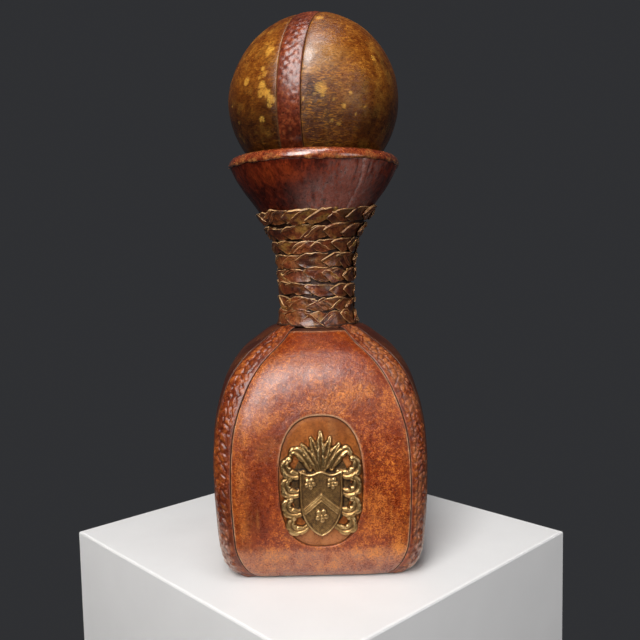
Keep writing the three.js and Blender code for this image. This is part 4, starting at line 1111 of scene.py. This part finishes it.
def rim():
    # binding folded over the lip: lower outer edge, roll, crown, inner edge
    zl = 219.35
    outer = [(float(neck_r(zl)) + 0.02, zl), (float(neck_r(zl)) + 0.40, zl - 0.02), (48.15, 219.7), (48.42, 220.4), (48.40, 221.3), (48.05, 222.3),
             (47.45, 223.3), (46.6, 224.2), (45.5, 224.9), (44.3, 225.2), (43.0, 225.0), (41.8, 224.2),
             (40.9, 223.0), (40.4, 221.6), (40.15, 220.3), (40.9, 219.95), (41.7, 220.3)]
    inner = [(42.1, 221.4), (42.9, 222.25), (44.0, 222.5), (45.2, 222.2), (45.9, 221.3), (46.4, 220.3)]
    prof = np.concatenate([resample(outer, 0.33), np.array(inner)])
    npt = len(prof)
    k = npt - len(inner)
    vis = np.ones(npt)
    vis[k:] = 0
    s = np.arange(npt) / k
    foot = smooth(221.6, 219.5, prof[:, 1]) * (prof[:, 0] > 45) * vis     # lower outer edge

    def move(ph, R, Z):
        a = np.sin(ph), np.cos(ph)
        wob = 0.28 * (2 * fbm(a[0] * 3 + 2, a[1] * 3, 0.3, 3, 61) - 1)
        fine = 0.16 * (2 * fbm(a[0] * 22, a[1] * 22, s[None] * 6, 4, 62) - 1)
        cut = (ph - 2.6 + math.pi) % TAU - math.pi
        lap = 0.35 * smooth(-0.004, 0.004, cut) * np.exp(-np.clip(cut, 0, None) * 12)
        rag = 1.3 * (2 * fbm(a[0] * 6 + 1, a[1] * 6, 0.8, 4, 65) - 1)
        r0, z0 = 44.4, 221.5
        dr, dz = R - r0, Z - z0
        l = np.hypot(dr, dz)
        f = 1 + vis[None] * (1 - foot[None]) * (fine + lap) / np.maximum(l, 1)
        R2, Z2 = r0 + dr * f, z0 + dz * f + 0.4 * wob * vis[None] * (1 - foot[None])
        # the lower edge wanders up and down on the funnel
        shift = foot[None] * rag
        return R2 + shift * 0.40, Z2 + shift

    def wear_and_sheen(ph, R, Z):
        low = np.exp(-((Z - 219.8) / 1.4) ** 2) * (R > 45)
        n = smooth(0.43, 0.60, fbm(np.sin(ph) * 16, np.cos(ph) * 16, Z / 2, 4, 63))
        top = 0.30 * smooth(0.5, 0.7, fbm(np.sin(ph) * 10 + 5, np.cos(ph) * 10, Z / 3, 4, 64))
        return np.clip(np.maximum(0.8 * low * n, top), 0, 1)

    # darker on the right and in blotches low down; the darkening along the lower edge and on the inner side is painted
    # shade
    def dark(ph, R, Z):
        a = (ph + math.pi) % TAU - math.pi
        d = 0.55 * smooth(0.45, 0.95, a) * smooth(2.6, 1.6, a) + 0.8 * smooth(46, 42.5, R) + 0.55 * smooth(0.45, 0.66, fbm(np.sin(ph) * 8 + 3, np.cos(ph) * 8, Z / 4, 4, 66)) * smooth(223, 220, Z) + 0.30 * smooth(220.6, 219.4, Z)
        return np.clip(d, 0, 1)
    z = np.zeros(npt)
    ob = lathe_loop("rim_binding_leather", prof, 320, m_rim, {"wear_and_sheen": wear_and_sheen, "dark": dark, "edge": z, "groove_shade": z}, move)
    return use(ob, "bottle", "rim_leather", "rim_binding")


def lining():
    z = np.linspace(184.5, 215.5, 44)
    line = np.stack([neck_r(z), z], -1)
    nn = normals2(line)
    o, i = line - nn * 5.45, line - nn * 6.65
    prof = np.concatenate([i, [[40.1, 219.7]], [[41.4, 219.6]], o[::-1]])

    def move(ph, R, Z):
        return R + 0.08 * (2 * fbm(np.sin(ph) * 8, np.cos(ph) * 8, Z / 3, 3, 71) - 1), Z
    w = np.zeros(len(prof))
    ob = lathe_loop("mouth_lining_leather", prof, 200, m_dark, {"wear_and_sheen": w + 0.2, "dark": w + 0.3, "edge": w, "groove_shade": w}, move)
    return use(ob, "bottle", "dark_leather", "mouth_lining")


sleeve()
funnel()
rim()
lining()


def glass():
    """Smooth bottle inside the leather, open at the mouth."""
    n = 128
    ph = np.arange(n) / n * TAU

    def ring(r, z, q):
        rr = r * square_r(ph, q)
        return np.stack([rr * np.cos(ph), rr * np.sin(ph), np.full(n, z)], -1)

    def under(z, k):
        s = (body_a(z + 0.25) - body_a(z - 0.25)) / 0.5
        l = math.hypot(1, s)
        return float(body_a(z) - k / l), float(z + k * s / l), float(body_n(z))

    def offset(k, z):
        line = np.stack([neck_r(z), z], -1)
        return line - normals2(line) * k
    R = [ring(30, 3.0, 5)]
    for z in np.concatenate([[1.3], np.linspace(4, 127, 46)]):
        a, zz, q = under(z, 2.6)
        R.append(ring(a, zz, q))
    for r, z in ((22.0, 126.8), (18.4, 128.8), (17.4, 131.2)):
        R.append(ring(r, z, 2))
    zn = np.linspace(134, 216, 40)
    for r, z in offset(2.2, zn):
        R.append(ring(r, z, 2))
    for r, z in ((45.2, 220.4), (44.7, 221.5), (43.9, 221.9), (43.0, 221.5), (42.3, 220.4)):
        R.append(ring(r, z, 2))
    for r, z in offset(5.0, zn)[::-1]:
        R.append(ring(14.5 if z < 165 else max(r, 14.2), z, 2))
    for r, z in ((14.2, 131.5), (15.2, 127), (18.5, 123.8)):
        R.append(ring(r, z, 2))
    for z in np.linspace(122.5, 12, 40):
        a, zz, q = under(z, 6.0)
        R.append(ring(a, zz, q))
    R += [ring(45.5, 9.6, 6), ring(38, 8.2, 5)]
    V = np.concatenate(R + [np.array([[0, 0, 3.0], [0, 0, 8.0]])])
    k = len(R)
    i = np.arange(n)
    j = (i + 1) % n
    F = [quads(k, n, False, True), np.stack([np.full(n, k * n), j, i], -1),
         np.stack([np.full(n, k * n + 1), (k - 1) * n + i, (k - 1) * n + j], -1)]
    ob = make("bottle_glass", V, F, m_glass, {})
    return use(ob, "bottle", "glass", "glass_bottle")


glass()


# --------------------------------------------------------------------- plaits
ROW_TILT = (-1.5, -2.0, -2.8, 0.6, 0.6, 2.6, 2.2, 2.4)      # degrees, up to the right
ROW_BOW = (0.0, 0.0, 0.0, 0.0, 0.1, 0.5, 1.0, 2.1)               # mm that the sides of a row lie higher than its front


def plait(k):
    """One row of plaited thong: broad leaves round the neck, each one coming out
    from under the next, with a pointed left end that lies over the one before."""
    pitch = (PLAIT_TOP - PLAIT_LOW) / PLAITS
    zc = PLAIT_LOW + (k + 0.5) * pitch - (0.5 if k == 0 else 0.0)
    slope = float((neck_r(zc + 2.5) - neck_r(zc - 2.5)) / 5.0)
    l = math.hypot(1, slope)
    up = np.array([slope / l, 1 / l])            # (radial, z) along the neck
    out = np.array([1 / l, -slope / l])
    rc = float(neck_r(zc))
    half = pitch * l / 2 + (0.8 if k == 0 else 0.1)
    n = int(round(TAU * (rc + 2) / 12.0))
    cell = TAU / n
    tilt = math.tan(math.radians(ROW_TILT[k]))
    rng = np.random.default_rng(720 + k)
    first = rng.random() * cell
    m = 29
    p = np.linspace(0, 1, m) ** 1.25
    c = np.array([0, 0.12, 0.42, 0.60])
    thick = 0.55
    V, F, E, D, W = [], [], [], [], []

    def leaf(p, yu, yl, o, a0, span, wu, wl, g):
        """A strip of thong between two edge lines, o is how far it stands out."""
        wide = np.maximum(yu - yl, 0.4)
        f = np.minimum(1, wide / 1.7)[:, None]
        inner = np.linspace(0, 1, 6)[1:-1]
        Y = np.concatenate([yl[:, None] + c * f, yl[:, None] + 0.60 * f + inner * (wide[:, None] - 1.2 * f), yu[:, None] - c[::-1] * f], 1)
        e = np.minimum(Y - yl[:, None], yu[:, None] - Y)
        q = (Y - (yu + yl)[:, None] / 2) / (wide[:, None] / 2)
        pp = np.broadcast_to(p[:, None], Y.shape)
        lift = (0.60 * g[13] - 0.12) * q + (0.45 * g[0] - 0.10) * (1 - q * q) + 0.16 * np.exp(-((e - 0.25) / 0.25) ** 2) - 0.25 * np.clip(1 - e / 0.14, 0, 1) ** 2
        O = o[:, None] + lift * f + 0.50 * (2 * fbm(Y * 0.42 + 5, pp * 5 + 10 * g[4], 0.0, 3, 83 + k) - 1)
        if k == 0:
            O = O + 0.9 * np.clip((-Y - 0.30 * half) / half, 0, 1)
        ph = a0 + span * pp
        base = sum(len(x) for x in V)
        for oo in (np.maximum(O, 0.75), np.maximum(O - thick, 0.10)):
            rad = rc + up[0] * Y + out[0] * oo
            z = zc + up[1] * Y + out[1] * oo
            dz = tilt * rad * np.sin(ph) + ROW_BOW[k] * np.sin(ph) ** 2      # the row climbs along the neck
            rad = rad + neck_r(zc + dz) - rc
            V.append(np.stack([rad * np.sin(ph), -rad * np.cos(ph), z + dz], -1).reshape(-1, 3))
        F.append(slab_faces(*Y.shape, base))
        # cut edges painted light along the upper side, where light falls, and round the pointed end, and kept dark
        # along the lower side, in shade
        frag = (0.60 + 0.40 * g[6]) * smooth(0.22, 0.50, fbm(pp * 8 + 10 * g[5], q + 5, 0.0, 3, 84 + k))
        ed = np.clip(1 - (e - 0.22) / 0.16, 0, 1) * np.where(q > 0, wu[:, None], wl[:, None]) * frag
        tone = g[10]
        # darker towards the end that runs under the next leaf: painted shade; the random leaf tone is the leather's own
        dk = (0.15 + 0.80 * smooth(0.60, 0.10, tone)) * (1 - ed) + 0.6 * smooth(0.45, 0.9, pp)
        wr = (0.15 + 0.75 * float(smooth(0.80, 0.95, tone))) * smooth(0.42, 0.62, fbm(Y * 0.35 + 3, pp * 4 + 10 * g[7], 0.0, 3, 85 + k))
        for lst, v in ((E, ed), (D, dk), (W, wr)):
            lst.extend([v.ravel(), v.ravel()])

    for i in range(n):
        g = rng.random(14)
        a0 = first + cell * (i + 0.34 * (g[0] - 0.5))
        span = cell * (1.45 + 0.22 * g[1])
        lie = 1.25 * g[2] - 0.60                      # height of the pointed end in the row, -1 to 1
        tip = half * lie
        hi, lo = half * (0.80 + 0.34 * g[3]), -half * (0.78 + 0.28 * g[4])
        ru = 0.20 + 0.30 * (0.65 - lie) * (0.7 + 0.6 * g[5])
        rl = 0.16 + 0.24 * (0.60 + lie) * (0.7 + 0.6 * g[6])
        fu = 1 - (1 - np.clip(p / ru, 0, 1)) ** (1.2 + 0.8 * g[11])
        fl = 1 - (1 - np.clip(p / rl, 0, 1)) ** (1.0 + 0.5 * g[12])
        yu = tip + 0.2 + (hi - tip - 0.2) * fu - 0.35 * half * g[7] * smooth(0.5, 1, p)
        yl = tip - 0.2 + (lo - tip + 0.2) * fl + 0.45 * half * g[8] * smooth(0.40, 1, p)
        yu = yu + 0.95 * fu * (2 * fbm(p * 4 + 9 * g[0], p * 0 + 7 * g[1], 0.0, 3, 81 + k) - 1)
        yl = yl - 0.75 * fl * (2 * fbm(p * 4 + 9 * g[2], p * 0 + 7 * g[3], 0.0, 3, 82 + k) - 1)
        o = 2.55 - 1.60 * p ** 0.85 + 0.55 * (g[9] - 0.5)
        leaf(p, yu, yl, o, a0, span, 1 - 0.45 * smooth(ru + 0.15, ru + 0.35, p), 0.12 + 0.88 * smooth(rl + 0.14, rl - 0.04, p), g)
        if g[7] > 0.58:
            # a thin strand that crosses over to the other side of the plait
            t = np.linspace(0, 1, m // 2)
            pf = 0.14 + 0.50 * t
            y0, y1 = (0.55 * lo, 0.70 * hi) if g[9] > 0.4 else (0.65 * hi, 0.60 * lo)
            yc = y0 + (y1 - y0) * smooth(0, 1, t) ** (0.7 + 0.8 * g[12]) + 0.9 * (2 * fbm(t * 3 + 9 * g[6], t * 0 + 4, 0.0, 3, 86 + k) - 1)
            wf = (1.8 + 1.2 * g[4]) * np.sin(np.pi * np.clip(t, 0.05, 0.95)) ** 0.5
            leaf(pf, yc + wf / 2, yc - wf / 2, np.interp(pf, p, o) + 0.30, a0, span, 0.85 * smooth(1.0, 0.6, t) + 0.1, 0.2 + 0 * t, np.roll(g, 3))
        if g[3] > 0.30:
            # part of the edge folded over on itself
            t = np.linspace(0, 1, m // 2)
            pf = 0.03 + (0.45 + 0.35 * g[8]) * t
            wf = (1.3 + 1.3 * g[5]) * np.sin(np.pi * np.clip(t, 0.03, 0.97)) ** 0.6
            yf = np.interp(pf, p, yu) - 0.15
            leaf(pf, yf, yf - wf, np.interp(pf, p, o) + 0.50, a0, span, 0.9 + 0 * t, 0.75 + 0 * t, np.roll(g, 5))
    at_ = {"edge": np.concatenate(E), "dark": np.clip(np.concatenate(D), 0, 1), "wear_and_sheen": np.concatenate(W)}
    at_["groove_shade"] = 0 * at_["wear_and_sheen"]
    # painted shade: darker, with duller cut edges, on the right
    right_shade = smooth(8.0, 20.0, np.concatenate(V)[:, 0])
    at_["edge"] = at_["edge"] * (1 - 0.6 * right_shade)
    at_["dark"] = np.clip(at_["dark"] + 0.15 * right_shade, 0, 1)
    ob = make("neck_plait_thong_%d" % (k + 1), np.concatenate(V), np.concatenate(F), m_plait, at_)
    return use(ob, "bottle", "plait_leather", "neck_plait_%d" % (k + 1))


for k_ in range(PLAITS):
    plait(k_)


# -------------------------------------------------------------------- stopper
def cork():
    outer = [(0.01, 148.0), (12.2, 148.0), (12.9, 148.5), (13.2, 149.4), (13.9, 164.0), (13.9, 211.0), (13.5, 212.0), (4.8, 212.1), (4.8, 171.7), (0.01, 171.7)]
    prof = resample(outer, 1.2)
    prof[0, 0] = prof[-1, 0] = 0.01

    def move(ph, R, Z):
        side = (R > 8).astype(float)
        pit = smooth(0.66, 0.8, fbm(np.sin(ph) * 5, np.cos(ph) * 5, Z / 2.4, 3, 91))
        return R - side * (0.28 * pit) + side * 0.05 * (2 * fbm(np.sin(ph) * 12, np.cos(ph) * 12, Z / 1.5, 2, 92) - 1), Z
    ob = lathe_loop("cork_plug_turned", prof, 120, m_cork, {}, move)
    return use(ob, "stopper_cork", "cork", "cork_plug")


cork()

az, tl = BAND_AZ, BAND_TILT
_n = np.array([math.cos(az), math.sin(az), 0.0])
_n = np.array([_n[0] * math.cos(tl), _n[1], -_n[0] * math.sin(tl)])
BN = _n / np.linalg.norm(_n)                                  # across the strip
BU = np.array([0, 0, 1.0]) - BN * BN[2]
BU /= np.linalg.norm(BU)                                      # up, in the strip's plane
BF = np.cross(BU, BN)
if BF[1] > 0:
    BF = -BF                                                  # towards the front


def uneven(U):
    """Hand-stuffed ball: a little flat at the upper left, a touch narrower on the left."""
    d = U @ (np.array([-0.62, -0.25, 0.74]) / np.linalg.norm([-0.62, -0.25, 0.74]))
    return -1.5 * smooth(0.62, 1.0, d) - 0.7 * smooth(0.25, 0.9, -U[..., 0]) - 0.25


def ball_point(lon, w, R):
    """Point on a sphere of radius R at height w above the strip's plane; lon 0 faces the front, rising to the top."""
    rho = np.sqrt(np.maximum(R * R - w * w, 0))
    return (np.array([0, 0, BALL_Z]) + BN * np.asarray(w)[..., None]
            + BF * (rho * np.cos(lon))[..., None] + BU * (rho * np.sin(lon))[..., None])


def cut_hole(ob):
    """Open the bottom of the ball's leather for the cork."""
    n = 96
    t = np.arange(n) / n * TAU
    r = 15.4
    V = np.concatenate([np.stack([r * np.cos(t), r * np.sin(t), np.full(n, z)], -1) for z in (195.0, 222.0)] + [np.array([[0, 0, 195.0], [0, 0, 222.0]])])
    i = np.arange(n)
    j = (i + 1) % n
    F = [quads(2, n, False, True), np.stack([np.full(n, 2 * n), j, i], -1), np.stack([np.full(n, 2 * n + 1), n + i, n + j], -1)]
    c = make("cutter", V, F, None)
    m = ob.modifiers.new("hole", "BOOLEAN")
    m.operation, m.object, m.solver = "DIFFERENCE", c, "EXACT"
    bpy.context.view_layer.update()
    me = bpy.data.meshes.new_from_object(ob.evaluated_get(bpy.context.evaluated_depsgraph_get()))
    ob.modifiers.clear()
    old = ob.data
    ob.data = me
    bpy.data.meshes.remove(old)
    bpy.data.objects.remove(c)
    me.polygons.foreach_set("use_smooth", np.ones(len(me.polygons), bool))
    return ob


SPOTS = ((3.8, -2.6, 2.9), (5.1, -5.7, 1.3), (0.5, -5.7, 0.9), (-5.0, -7.7, 0.9), (15.7, -11.0, 1.2), (19.0, -4.5, 0.8), (13.3, -19.2, 1.1), (9.3, -18.1, 0.6),
         (10.6, -8.2, 0.7), (-22.2, 19.7, 2.4), (-23.0, 17.5, 1.4), (-25.8, 9.8, 1.3), (-25.0, 6.5, 1.3), (-35.2, 4.8, 2.0), (-26.3, 1.0, 2.1), (-27.4, -2.9, 1.9),
         (-23.9, -3.0, 2.3), (-21.7, -6.8, 2.1), (-22.3, -9.0, 1.4), (-27.0, -15.7, 1.6), (-40.7, -14.5, 1.0), (-44.8, -5.0, 0.8), (-27.7, 4.9, 0.9), (4.3, 37.6, 1.8),
         (32.3, 15.7, 1.4), (26.7, -10.6, 0.7), (21.9, -14.5, 0.6))      # x, z, radius


def ball_cover(side):
    nl, nw = ((310, 80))
    w0 = BAND_HALF + 0.10
    lat0 = math.asin(w0 / BALL_R)
    ed = EDGE[:8] / BALL_R
    lat = np.concatenate([lat0 + ed, lat0 + ed[-1] + (math.pi / 2 - lat0 - ed[-1]) * np.linspace(0, 1, nw)[1:]])
    lat[-1] = math.pi / 2 - 0.004
    lon = np.arange(nl) / nl * TAU
    LO, LA = np.meshgrid(lon, lat, indexing="ij")
    e = (LA - lat0) * BALL_R
    U = ball_point(LO, side * np.sin(LA), 1.0) - np.array([0, 0, BALL_Z])     # unit vectors
    P0 = U * BALL_R
    f = 2 * fbm(P0[..., 0] / 14, P0[..., 1] / 14, P0[..., 2] / 14, 3, 101 + side) - 1
    # fine creases that run away from the strip, strongest close to it
    near = np.exp(-(np.clip(e - 8, 0, None) / 17.0) ** 2) * smooth(22, 6, P0[..., 2]) * smooth(-40, -22, P0[..., 2])
    patch = smooth(0.35, 0.6, fbm(P0[..., 0] / 9, P0[..., 1] / 9, P0[..., 2] / 9, 3, 105 + side))
    crease = fbm(LO * 34 + 1.5 * fbm(LO * 9, e / 6, 0.1, 2, 106), e / 5.0, 0.5 + side, 4, 107)
    crease = np.abs(2 * crease - 1) + 0.3 * smooth(1.05, 1.40, LA)
    h = 0.16 * f - roll(e, 0.7) - 0.26 * np.exp(-(e / 1.6) ** 2) - 0.16 * (0.20 + 0.80 * near) * (0.35 + 0.65 * patch) * (0.28 - np.minimum(crease, 0.28)) / 0.28
    h = h + 0.05 * (2 * fbm(P0[..., 0] / 2.2, P0[..., 1] / 2.2, P0[..., 2] / 2.2, 3, 109) - 1)
    top = np.array([0, 0, BALL_Z]) + U * (BALL_R - 0.05 + h + uneven(U))[..., None]
    low = np.array([0, 0, BALL_Z]) + U * (46.15)
    # worn yellow spots, placed on the side that faces the viewer
    wear_and_sheen = 0.14 * smooth(0.54, 0.72, fbm(P0[..., 0] / 7, P0[..., 1] / 7, P0[..., 2] / 7, 4, 111))
    for x, z, r in SPOTS:
        y = -math.sqrt(max(BALL_R ** 2 - x * x - z * z, 0))
        d = np.linalg.norm(P0 - np.array([x, y, z]), axis=-1)
        rag = 0.6 + 0.8 * fbm(P0[..., 0] / 2.5, P0[..., 1] / 2.5, P0[..., 2] / 2.5, 3, 115)
        wear_and_sheen = np.maximum(wear_and_sheen, smooth(1.25, 0.70, d / (r * rag)) * (1.0 if r > 1.3 else 0.9))
    zz = U[..., 2]
    # darker low down and towards the left and right edges: painted shade; the blotches and the darker left cover are
    # the leather's own
    dark = (0.80 - 0.26 * side) * smooth(0.22, -0.45, zz - 0.10 * U[..., 0]) + (0.14 if side < 0 else 0.0) + 0.24 * smooth(0.55, 0.98, np.abs(U[..., 0] + 0.08)) + 0.34 * smooth(0.5, 0.72, fbm(P0[..., 0] / 12 + 5, P0[..., 1] / 12, P0[..., 2] / 16, 4, 117))
    # darker in the crease lines: painted shade
    dark = np.maximum(dark, 0.16 * smooth(0.16, 0.08, crease) * near)
    edge = np.exp(-(e / (0.6 if side > 0 else 0.42)) ** 2)
    # polished patch beside the strip, where hands take hold; its lighter golden tint is a painted highlight over the
    # real gloss
    shine = blob(P0[..., 0], P0[..., 2], 5.0, 14.5, 10.0, 6.5) * (P0[..., 1] < 0) * (side > 0)
    nr, nc = LO.shape
    M = nr * nc
    i = np.arange(nr)
    j = (i + 1) % nr
    pole = np.stack([top[:, -1].mean(0), low[:, -1].mean(0)])
    V = np.concatenate([top.reshape(-1, 3), low.reshape(-1, 3), pole])
    F = [quads(nr, nc, True, False), quads(nr, nc, True, False, M)[:, ::-1],
         np.stack([i * nc, i * nc + M, j * nc + M, j * nc], -1),
         np.stack([np.full(nr, 2 * M), j * nc + nc - 1, i * nc + nc - 1][::-1], -1),
         np.stack([np.full(nr, 2 * M + 1), M + j * nc + nc - 1, M + i * nc + nc - 1], -1)]
    at = {"wear_and_sheen": wear_and_sheen, "dark": np.clip(dark, 0, 1), "edge": edge * (0.20 if side > 0 else 0.15 + 0.25 * smooth(0.3, -0.3, zz)), "warm": np.clip(1.3 * shine, 0, 1), "groove_shade": np.clip(1 - e / 0.12, 0, 1) * 0.8,
          "crease": np.clip((0.95 if side > 0 else 0.30) * near * (0.35 + 0.65 * patch) + 0.06 + 0.5 * blob(P0[..., 0], P0[..., 2], 5, 34, 14, 9) * (P0[..., 1] < 0) * (1 - np.clip(1.3 * shine, 0, 1)), 0, 1)}
    at = {k: np.concatenate([np.asarray(v).ravel(), np.zeros(M), [0, 0]]) for k, v in at.items()}
    name = "right" if side > 0 else "left"
    ob = cut_hole(make("ball_cover_leather_" + name, V, F, m_ball, at))
    return use(ob, "stopper_ball", "ball_leather", "ball_cover_" + name)


def pebbles(u, s, pitch, seed, period):
    """Staggered crescent dents in three columns, with swellings between them."""
    h = np.zeros_like(u)
    dent = np.zeros_like(u)
    for c, cu0 in enumerate((-3.1, 0.0, 3.1)):
        ss = s / pitch + 0.5 * (c % 2)
        k0 = np.floor(ss)
        for dk in (-1, 0, 1):
            k = k0 + dk
            key = np.mod(k, period)
            j = [_hash(key, key * 0 + c, key * 0 + q, seed) - 0.5 for q in range(4)]
            du = u - cu0 - 0.9 * j[0]
            ds = s - (k + 0.5 - 0.5 * (c % 2) + 0.35 * j[1]) * pitch
            bow = ds - 0.30 * du * du + 0.5 * j[2] * du
            dent = np.maximum(dent, np.exp(-(du / 0.95) ** 2 - (bow / 0.34) ** 2) * np.clip(0.55 + 1.3 * j[3], 0.05, 1))
            h = np.maximum(h, np.exp(-(du / 1.6) ** 2 - ((ds + 0.42 * pitch) / (0.36 * pitch)) ** 2))
    return h, dent


def ball_strip():
    nl, nw = ((500, 30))
    w1 = BAND_HALF - 0.05
    cols = np.concatenate([EDGE[:8], np.linspace(1.7, 2 * w1 - 1.7, nw), (2 * w1 - EDGE[:8])[::-1]])
    w = cols - w1
    lon = np.arange(nl) / nl * TAU
    LO, W = np.meshgrid(lon, w, indexing="ij")
    S = LO * BALL_R
    e = np.minimum(W + w1, w1 - W)
    count = 60
    pitch = TAU * BALL_R / count
    pad, nick = pebbles(W, S, pitch, 77, count)
    pad, nick = pad * smooth(0.3, 1.3, e), nick * smooth(0.4, 1.2, e)
    U = ball_point(LO, W / BALL_R, 1.0) - np.array([0, 0, BALL_Z])
    z0 = U[..., 2]
    press = 0.30 + 0.70 * smooth(-0.05, 0.30, z0)                 # worn almost flat low down
    h = -roll(e, 0.5) + 0.10 * (1 - (W / w1) ** 2) + press * (0.32 * pad - 0.16 - 0.62 * nick)
    h = h + 0.07 * (2 * fbm(W / 1.6, S / 1.2, 0.0, 3, 121) - 1) - 0.05
    top = np.array([0, 0, BALL_Z]) + U * (BALL_R + h + uneven(U))[..., None]
    low = np.array([0, 0, BALL_Z]) + U * (46.15)
    zz = z0
    wear_and_sheen = 0.5 * smooth(0.5, 1.0, pad) * smooth(0.42, 0.66, fbm(W / 4, S / 6, 0.3, 3, 123))
    # darker in the nicks, between the pebbles and low on the ball: painted shade
    dark = np.clip(press * (1.0 * nick + 0.15 * smooth(0.4, 0.1, pad)) + 0.6 * smooth(-0.1, -0.7, zz), 0, 1)
    nr, nc = LO.shape
    M = nr * nc
    i = np.arange(nr)
    j = (i + 1) % nr
    V = np.concatenate([top.reshape(-1, 3), low.reshape(-1, 3)])
    F = [quads(nr, nc, True, False), quads(nr, nc, True, False, M)[:, ::-1],
         np.stack([i * nc, i * nc + M, j * nc + M, j * nc], -1),
         np.stack([i * nc + nc - 1, j * nc + nc - 1, j * nc + nc - 1 + M, i * nc + nc - 1 + M], -1)]
    at = {"wear_and_sheen": wear_and_sheen, "dark": dark, "edge": np.exp(-(e / 0.4) ** 2) * 0.15, "groove_shade": np.clip(1 - e / 0.10, 0, 1) * 0.6}
    at = {k: np.concatenate([np.asarray(v).ravel(), np.zeros(M)]) for k, v in at.items()}
    ob = cut_hole(make("ball_strip_leather", V, F, m_band, at))
    return use(ob, "stopper_ball", "tooled_leather", "ball_strip")


ball_cover(1)
ball_cover(-1)
ball_strip()

# wooden core and dowel keep their solids
for n_ in ("ball_core", "ball_dowel"):
    me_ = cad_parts[n_].data
    me_.materials.clear()
    me_.materials.append(m_wood)


# ---------------------------------------------------------------------- stage
def stage():
    # pale square block that the decanter stands on, turned about 45 degrees
    a = math.radians(43)
    bev = 0.0012
    d1, d2 = Vector((math.cos(a), math.sin(a), 0)), Vector((math.sin(a), -math.cos(a), 0))
    mid, h1, h2 = Vector((-0.0028, 0.0162, 0)), 0.1034, 0.1089

    def rect(inset, z):
        return [tuple(mid + d1 * (sx * (h1 - inset)) + d2 * (sy * (h2 - inset)) + Vector((0, 0, z)))
                for sx, sy in ((-1, -1), (-1, 1), (1, 1), (1, -1))]
    V = rect(bev, 0.0) + rect(bev * 0.3, -bev * 0.3) + rect(0, -bev) + rect(0, -0.40)
    F = [(0, 1, 2, 3)]
    for k in range(3):
        for i in range(4):
            j = (i + 1) % 4
            F.append((4 * k + i, 4 * (k + 1) + i, 4 * (k + 1) + j, 4 * k + j))
    me = bpy.data.meshes.new("floor")
    me.from_pydata(V, [], F)
    me.update()
    ob = bpy.data.objects.new("floor", me)
    bpy.context.scene.collection.objects.link(ob)
    M = Mat("pale_floor")
    nn = M.noise(30, 4, 0.5)
    me.materials.append(M.set(color=M.ramp(nn, [(0.3, (0.725, 0.72, 0.72)), (0.7, (0.755, 0.75, 0.75))]), rough=0.6))


stage()


def light(name, loc, aim, size, watts, color=(1, 1, 1), spread=180):
    d = bpy.data.lights.new(name, "AREA")
    d.shape = "RECTANGLE"
    d.size, d.size_y = size
    d.energy = watts
    d.color = color
    d.spread = math.radians(spread)
    o = bpy.data.objects.new(name, d)
    bpy.context.scene.collection.objects.link(o)
    o.location = loc
    o.rotation_euler = (Vector(aim) - Vector(loc)).to_track_quat("-Z", "Y").to_euler()
    return o


def at(az, el, dist, z=0.15):
    a, e = math.radians(az), math.radians(el)
    return (dist * math.sin(a) * math.cos(e), -dist * math.cos(a) * math.cos(e), z + dist * math.sin(e))


light("key", at(-19, 38.5, 1.25), (0, 0, 0.15), (0.54, 1.08), 22.6, (1.0, 0.985, 0.965))
# the foot of the same window, which reaches the bottle's body only
light("window_foot", at(-17, 7, 1.30, 0.088), (-0.018, 0, 0.086), (0.40, 0.30), 0.045, (1.0, 0.98, 0.96), 12)
light("top", at(8, 80, 1.1), (0, 0, 0.15), (0.40, 0.40), 4.2, (1.0, 0.99, 0.98))
light("right", at(47, 13, 1.2), (0, 0, 0.13), (0.50, 0.80), 3.2, (0.97, 0.98, 1.0))

world = bpy.data.worlds.new("studio")
bpy.context.scene.world = world
world.use_nodes = True
bg = world.node_tree.nodes["Background"]
bg.inputs[0].default_value = (0.029, 0.030, 0.033, 1)
bg.inputs[1].default_value = 1.0
bpy.context.scene.view_settings.view_transform = "Standard"

# --------------------------------------------------------------------- camera
cam = bpy.data.cameras.new("camera")
cam.sensor_width = 36.0
cam.lens = 726.0 * 36.0 / 640.0
cam.clip_start, cam.clip_end = 0.01, 20
co = bpy.data.objects.new("camera", cam)
bpy.context.scene.collection.objects.link(co)
yaw, pitch, rho = math.radians(0.5), math.radians(-4.8), math.radians(1.15)
D, HC, CX = 0.4213, 0.168, 0.00165
fwd0 = Vector((math.sin(yaw), math.cos(yaw), 0))
right = Vector((math.cos(yaw), -math.sin(yaw), 0))
loc = right * CX - fwd0 * D + Vector((0, 0, HC))
fwd = (fwd0 * math.cos(pitch) + Vector((0, 0, math.sin(pitch)))).normalized()
up = right.cross(fwd)
r2 = right * math.cos(rho) - up * math.sin(rho)
u2 = right * math.sin(rho) + up * math.cos(rho)
co.matrix_world = Matrix(((r2.x, u2.x, -fwd.x, loc.x), (r2.y, u2.y, -fwd.y, loc.y), (r2.z, u2.z, -fwd.z, loc.z), (0, 0, 0, 1)))
bpy.context.scene.camera = co
